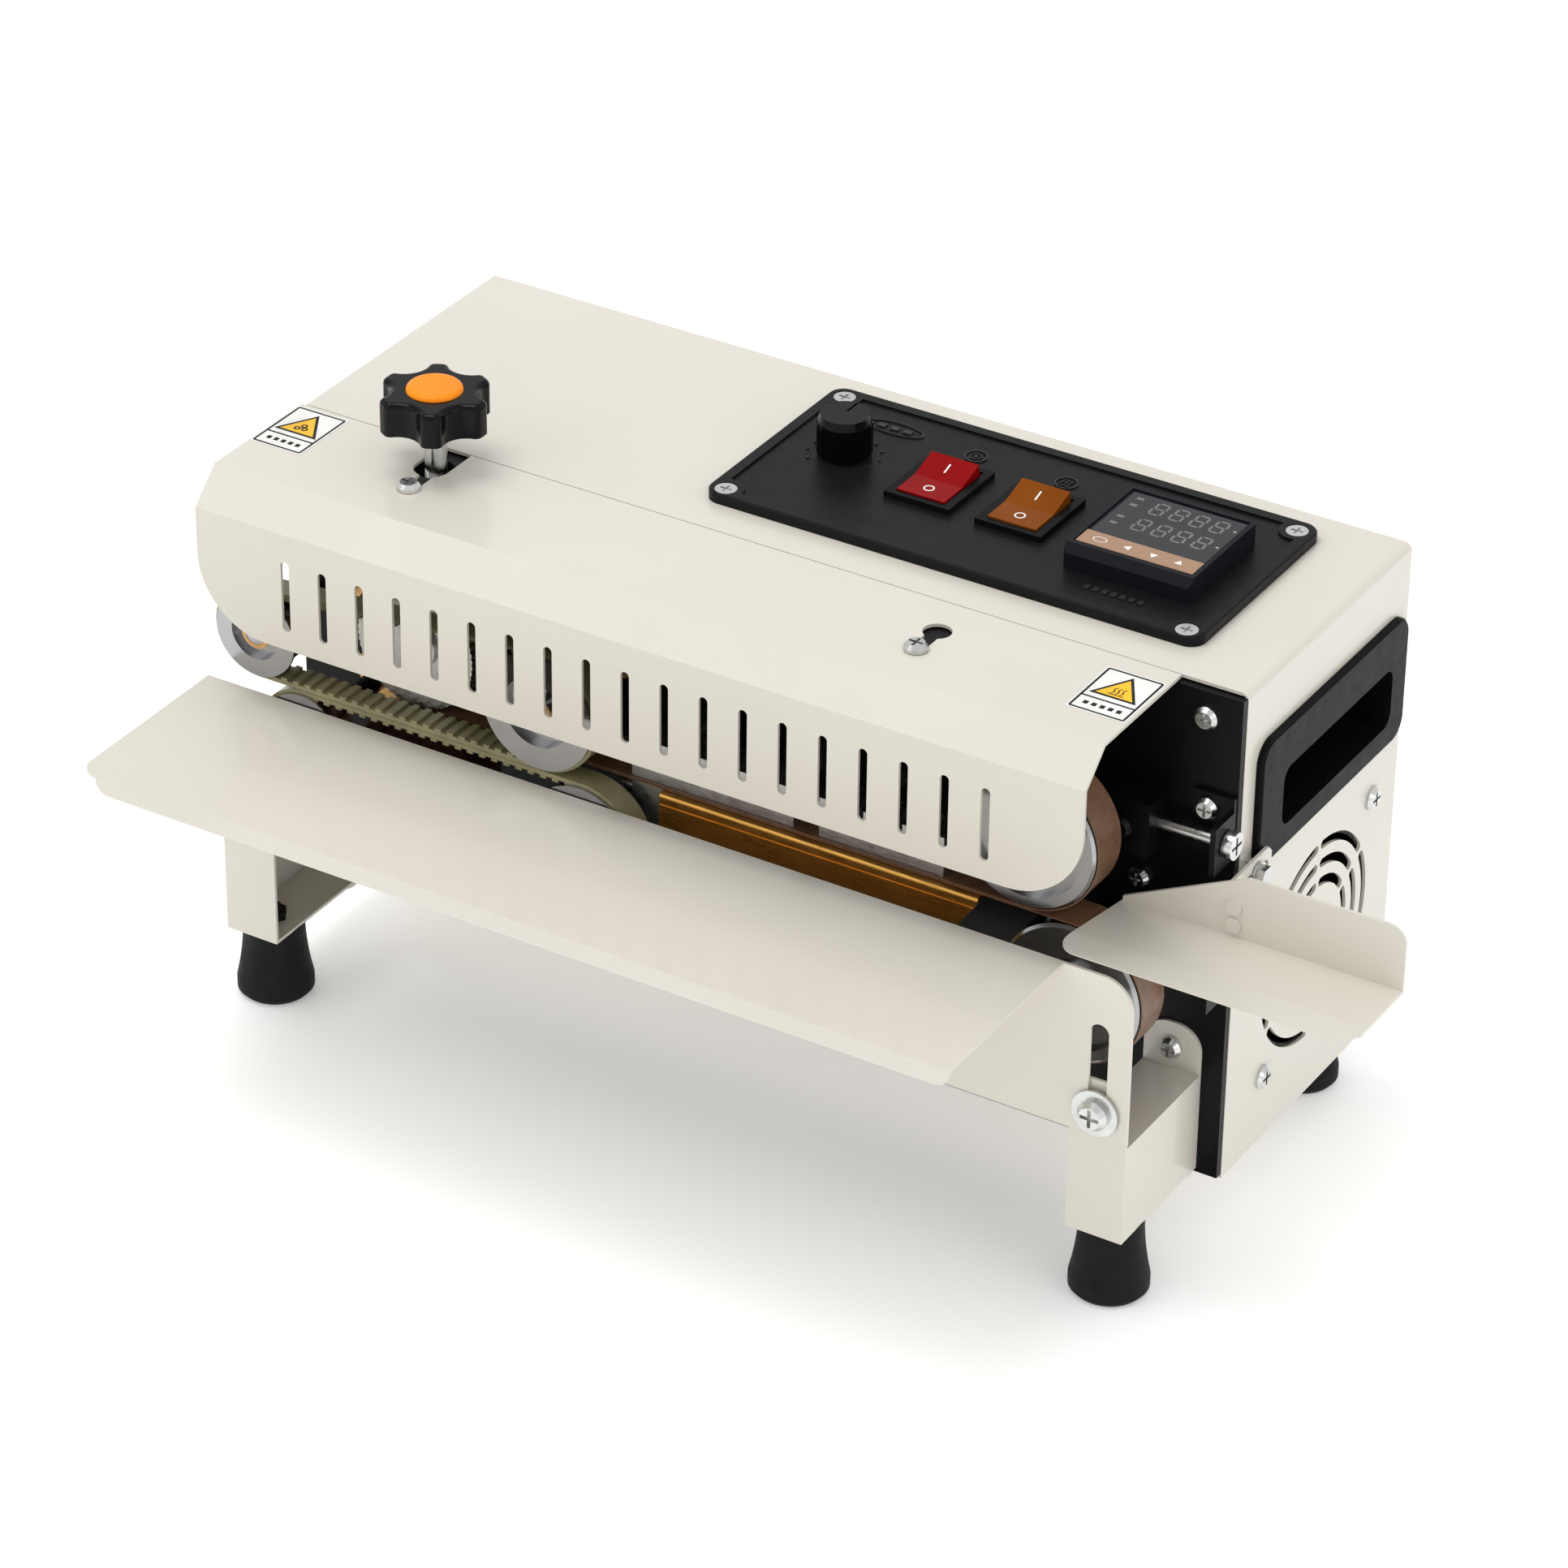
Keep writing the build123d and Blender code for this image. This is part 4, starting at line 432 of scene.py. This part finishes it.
def sticker(name, x0, x1, y0, y1, draw_sign):
    """Plain white sticker with a triangle, blank bars where a caption would go, no lettering."""
    sheet = Sheet(((x0 + x1) / 2, (y0 + y1) / 2, cover_high[2]), right=(1, 0, 0), up=(0, 1, 0))
    wide, deep = x1 - x0, y1 - y0
    middle = deep * TRIANGLE_MIDDLE
    base, ink, fill, sign = [Relief(sheet) for _ in range(4)]
    base.slab(rect(0, 0, wide, deep), STICKER_BASE, STICKER_TOP)
    base.finish(name, white_print, "cover")
    for side in (-1, 1):
        upright = rect(side * (wide / 2 - FRAME_INSET), 0, FRAME_LINE, deep - 2 * FRAME_INSET)
        level = rect(0, side * (deep / 2 - FRAME_INSET), wide - 2 * FRAME_INSET, FRAME_LINE)
        ink.slab(upright, STICKER_TOP, INK_TOP)
        ink.slab(level, STICKER_TOP, INK_TOP)
    rule = rect(0, -deep * RULE_DROP, wide - 2 * RULE_INSET, FRAME_LINE)
    ink.slab(rule, STICKER_TOP, INK_TOP)
    ink.slab(polygon(0, middle, deep * TRIANGLE_OUTER, 3, POINT_UP), STICKER_TOP, INK_TOP)
    for i in range(CAPTION_BARS):
        x = (i - CAPTION_BARS // 2) * wide * BAR_PITCH
        bar = rect(x, -deep * CAPTION_DROP, wide * BAR_WIDTH, deep * BAR_HEIGHT)
        ink.slab(bar, STICKER_TOP, INK_TOP)
    ink.finish(name + "_ink", black_print, "cover")
    fill.slab(polygon(0, middle, deep * TRIANGLE_INNER, 3, POINT_UP), INK_TOP, FILL_TOP)
    fill.finish(name + "_yellow", yellow_print, "cover")
    draw_sign(sign, middle, deep)
    sign.finish(name + "_mark", black_print, "cover")


sticker("left_sticker", cover_low[0] + 0.4 * MM, cover_low[0] + 21.6 * MM,
        cover_high[1] - 31.5 * MM, cover_high[1] - 2.0 * MM, roller_sign)
sticker("right_sticker", cover_high[0] - 22.6 * MM, cover_high[0] - 0.8 * MM,
        cover_high[1] - 37.3 * MM, cover_high[1] - 8.2 * MM, heat_sign)

# ---------------------------------------------------------------- raised marks on the panel

# The panel's field lies below its rim; marks are placed from the panel's front left corner
RIM_HEIGHT = 0.8 * MM
RAISED = 0.5 * MM
panel_low, panel_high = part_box("control_panel")
panel_left, panel_front = panel_low[0], panel_low[1]
icons = Relief(Sheet((panel_left, panel_front, panel_high[2] - RIM_HEIGHT), (1, 0, 0), (0, 1, 0)))


def mark(outline):
    icons.slab(outline, 0, RAISED)


def mark_ring(centre, radius, width, **shape):
    icons.ring(centre, radius * MM, width * MM, 0, RAISED, **shape)


# Long oval emblem behind the speed knob, with plain bars in it
oval_x, oval_y = 33.0 * MM, 73.5 * MM
mark_ring((oval_x, oval_y), 11.5, 0.7, turns=36, squash=0.36)
for i in (-1, 0, 1):
    mark(rect(oval_x + i * 5.2 * MM, oval_y, 3.2 * MM, 2.4 * MM))


def switch_mark(x, y, filling):
    """Round icon behind a switch, with a row of tally marks below it."""
    mark_ring((x, y), 4.2, 0.55)
    if filling == "hexagon":
        mark_ring((x, y), 2.4, 0.5, turns=6)
        mark(polygon(x, y, 0.7 * MM, 12))
    else:
        for i in (-1, 0, 1):
            mark(rect(x + i * 1.5 * MM, y + 0.4 * MM, 0.45 * MM, 3.2 * MM, slant=0.4 * MM))
        mark(rect(x, y - 2.1 * MM, 4.4 * MM, 0.45 * MM))
    for i in range(5):
        mark(rect(x + (i - 2) * 2.0 * MM, y - 6.6 * MM, 1.2 * MM, 1.5 * MM))


SWITCH_MARK_GAP = 13.5 * MM
for node, filling in (("power_rocker", "hexagon"), ("heater_rocker", "strokes")):
    low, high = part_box(node)
    x = (low[0] + high[0]) / 2 - panel_left
    switch_mark(x, high[1] - panel_front + SWITCH_MARK_GAP, filling)

# A scale of dots round the speed knob, and tally marks before the controller
DIAL_DOTS, DIAL_START, DIAL_STEP, DIAL_RADIUS = 11, 225, 27, 13.0 * MM
knob_low, knob_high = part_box("speed_knob")
knob_x = (knob_low[0] + knob_high[0]) / 2 - panel_left
knob_y = (knob_low[1] + knob_high[1]) / 2 - panel_front
for i in range(DIAL_DOTS):
    angle = math.radians(DIAL_START - DIAL_STEP * i)
    x = knob_x + DIAL_RADIUS * math.cos(angle)
    y = knob_y + DIAL_RADIUS * math.sin(angle)
    mark(polygon(x, y, 0.5 * MM, 10))
control_low, control_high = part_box("temperature_controller")
face_x = (control_low[0] + control_high[0]) / 2
face_y = (control_low[1] + control_high[1]) / 2
for i in range(7):
    mark(rect(face_x - panel_left + (i - 3) * 3.4 * MM, 12.2 * MM, 2.0 * MM, 2.6 * MM))
icons.finish("panel_icons", icon_black, "machine")

# ---------------------------------------------------------------- temperature controller face

# Heights over the sunk face in metres; rows, pitches and outlines in millimetres from its middle
BEZEL_DEPTH = 0.6 * MM
FILM_BASE = 0.02 * MM
WINDOW_TOP = 0.30 * MM
KEYS_TOP = 0.32 * MM
INK_LIFT = 0.06 * MM
DIGIT_ROWS = (14.2, 1.6)
LAMP_ROWS = (17.5, 12.5, 3.5, -1.5)
KEY_ROW = -14.4
FIRST_DIGIT, DIGIT_PITCH = -8.0, 7.6
FIRST_ARROW, ARROW_PITCH = -4.5, 9.6
face = Sheet((face_x, face_y, control_high[2] - BEZEL_DEPTH), right=(1, 0, 0), up=(0, 1, 0))
# Each segment's place in half widths and half heights of a digit, and whether it stands upright
SEGMENTS = ((0, 1, False), (1, 0.5, True), (1, -0.5, True), (0, -1, False),
            (-1, -0.5, True), (-1, 0.5, True), (0, 0, False))


def mm_rect(x, y, wide, high):
    return rect(x * MM, y * MM, wide * MM, high * MM)


def seven_segments(store, x, y, half_wide, half_high, stroke):
    """Adds one digit with every segment showing, leaning a little to the right."""
    for sx, sy, upright in SEGMENTS:
        lean = sy * half_high * 0.12
        wide = stroke if upright else half_wide * 1.55
        tall = half_high * 0.82 if upright else stroke
        outline = mm_rect(x + sx * half_wide + lean, y + sy * half_high, wide, tall)
        store.slab(outline, WINDOW_TOP, WINDOW_TOP + INK_LIFT)


window, strip, digits, key_marks = [Relief(face) for _ in range(4)]
window.slab(mm_rect(0.5, 5.5, 43.0, 31.0), FILM_BASE, WINDOW_TOP)
window.finish("controller_window", window_dark, "machine")
strip.slab(mm_rect(0, KEY_ROW, 44.0, 8.6), FILM_BASE, KEYS_TOP)
strip.finish("controller_keys", key_copper, "machine")
for y in DIGIT_ROWS:
    for column in range(4):
        x = FIRST_DIGIT + column * DIGIT_PITCH
        seven_segments(digits, x, y, half_wide=2.1, half_high=3.9, stroke=0.85)
for y in LAMP_ROWS:
    digits.slab(mm_rect(-17.0, y, 2.6, 1.5), WINDOW_TOP, WINDOW_TOP + INK_LIFT)
digits.finish("controller_digits", digit_grey, "machine")
# An oval, then arrows left, down and up, and a dash after each row of digits
key_marks.ring((-15.0 * MM, KEY_ROW * MM), 2.7 * MM, 0.4 * MM, KEYS_TOP, KEYS_TOP + INK_LIFT,
               turns=24, squash=0.62)
for i, angle in enumerate((180, -90, 90)):
    arrow = polygon((FIRST_ARROW + i * ARROW_PITCH) * MM, KEY_ROW * MM, 1.7 * MM, 3, angle)
    key_marks.slab(arrow, KEYS_TOP, KEYS_TOP + INK_LIFT)
for y in DIGIT_ROWS:
    key_marks.slab(mm_rect(20.6, y, 1.1, 0.35), WINDOW_TOP, WINDOW_TOP + INK_LIFT)
key_marks.finish("controller_key_marks", white_print, "machine")

# ---------------------------------------------------------------- marks on the rockers

# A rocker cap's profile: heights over the pivot at its ends and at its valley, half its depth,
# and its tilt at rest, with the far end up
CAP_ENDS, CAP_VALLEY, CAP_HALF = 6.8 * MM, 5.0 * MM, 12.0 * MM
CAP_FOOT = 0.5 * MM
REST_TILT = 0.15
MARK_SHARE = 0.52
MARK_LIFT = 0.12 * MM


def cap_face(low, high, side):
    """The sheet on one face of a rocker cap with this box; side is -1 for near and 1 for far."""
    sin, cos = math.sin(REST_TILT), math.cos(REST_TILT)
    pivot_y = high[1] - (CAP_HALF * cos - CAP_FOOT * sin)
    pivot_z = high[2] - (CAP_HALF * sin + CAP_ENDS * cos)
    along = side * CAP_HALF * MARK_SHARE
    up = CAP_VALLEY + (CAP_ENDS - CAP_VALLEY) * MARK_SHARE
    y = pivot_y + along * cos - up * sin
    z = pivot_z + along * sin + up * cos
    angle = REST_TILT + side * math.atan2(CAP_ENDS - CAP_VALLEY, CAP_HALF)
    place = ((low[0] + high[0]) / 2, y, z)
    return Sheet(place, right=(1, 0, 0), up=(0, math.cos(angle), math.sin(angle)))


def rocker_marks(node, body):
    """White ring on the near face of a rocker cap and white bar on its far face."""
    low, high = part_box(node)
    marks = Relief(cap_face(low, high, -1))
    marks.ring((0, 0), 2.0 * MM, 0.55 * MM, 0.0, MARK_LIFT)
    marks.sheet = cap_face(low, high, 1)
    marks.slab(mm_rect(0, 0, 0.65, 4.4), 0.0, MARK_LIFT)
    marks.finish(node + "_marks", white_print, body)


rocker_marks("power_rocker", "power_switch")
rocker_marks("heater_rocker", "heater_switch")

# ---------------------------------------------------------------- stage, lights and camera

FLOOR_HALF = 30.0
floor_mesh = bpy.data.meshes.new("floor")
floor_corners = [(x, y, 0) for x, y in rect(0, 0, 2 * FLOOR_HALF, 2 * FLOOR_HALF)]
floor_mesh.from_pydata(floor_corners, [], [(0, 1, 2, 3)])
# A little light of its own keeps the floor near white beside the machine
floor_look = Shader("floor_white", (0.96, 0.96, 0.96), 0.6,
                    Emission_Color=(1, 1, 1, 1), Emission_Strength=0.24)
floor_look.tint(floor_look.noise(scale=2.0), amount=0.004)
floor_mesh.materials.append(floor_look.material)
floor = bpy.data.objects.new("floor", floor_mesh)
bpy.context.scene.collection.objects.link(floor)

LIGHT_TARGET = Vector((0, 0, 0.1))


def area_light(name, place, size, watts):
    """Square soft light that faces the machine."""
    data = bpy.data.lights.new(name, "AREA")
    data.size = size
    data.energy = watts
    lamp = bpy.data.objects.new(name, data)
    lamp.location = place
    lamp.rotation_euler = (LIGHT_TARGET - Vector(place)).to_track_quat("-Z", "Y").to_euler()
    bpy.context.scene.collection.objects.link(lamp)


area_light("key_overhead", (-0.4, -0.2, 1.9), size=0.9, watts=12)
area_light("fill_front_left", (-1.2, -1.7, 1.3), size=1.2, watts=3.5)
area_light("fill_right", (1.8, -0.4, 0.9), size=1.0, watts=3)

world = bpy.data.worlds.new("studio")
world.use_nodes = True
background = world.node_tree.nodes["Background"]
background.inputs["Color"].default_value = (1, 1, 1, 1)
background.inputs["Strength"].default_value = 0.85
bpy.context.scene.world = world
bpy.context.scene.view_settings.view_transform = "Standard"

# Solved for the 1932 x 1932 frame
CAMERA_PLACE = (0.901118, -1.534630, 1.224880)
CAMERA_RIGHT = Vector((0.85410673, 0.51997782, 0.01116972))
CAMERA_UP = Vector((-0.2797013, 0.44111453, 0.85275152))
camera_data = bpy.data.cameras.new("camera")
camera_data.lens = 140.935
camera_data.sensor_width = 36.0
camera_data.clip_end = 100.0
camera = bpy.data.objects.new("camera", camera_data)
turn = Matrix((CAMERA_RIGHT, CAMERA_UP, CAMERA_RIGHT.cross(CAMERA_UP))).transposed()
camera.matrix_world = Matrix.Translation(CAMERA_PLACE) @ turn.to_4x4()
bpy.context.scene.collection.objects.link(camera)
bpy.context.scene.camera = camera
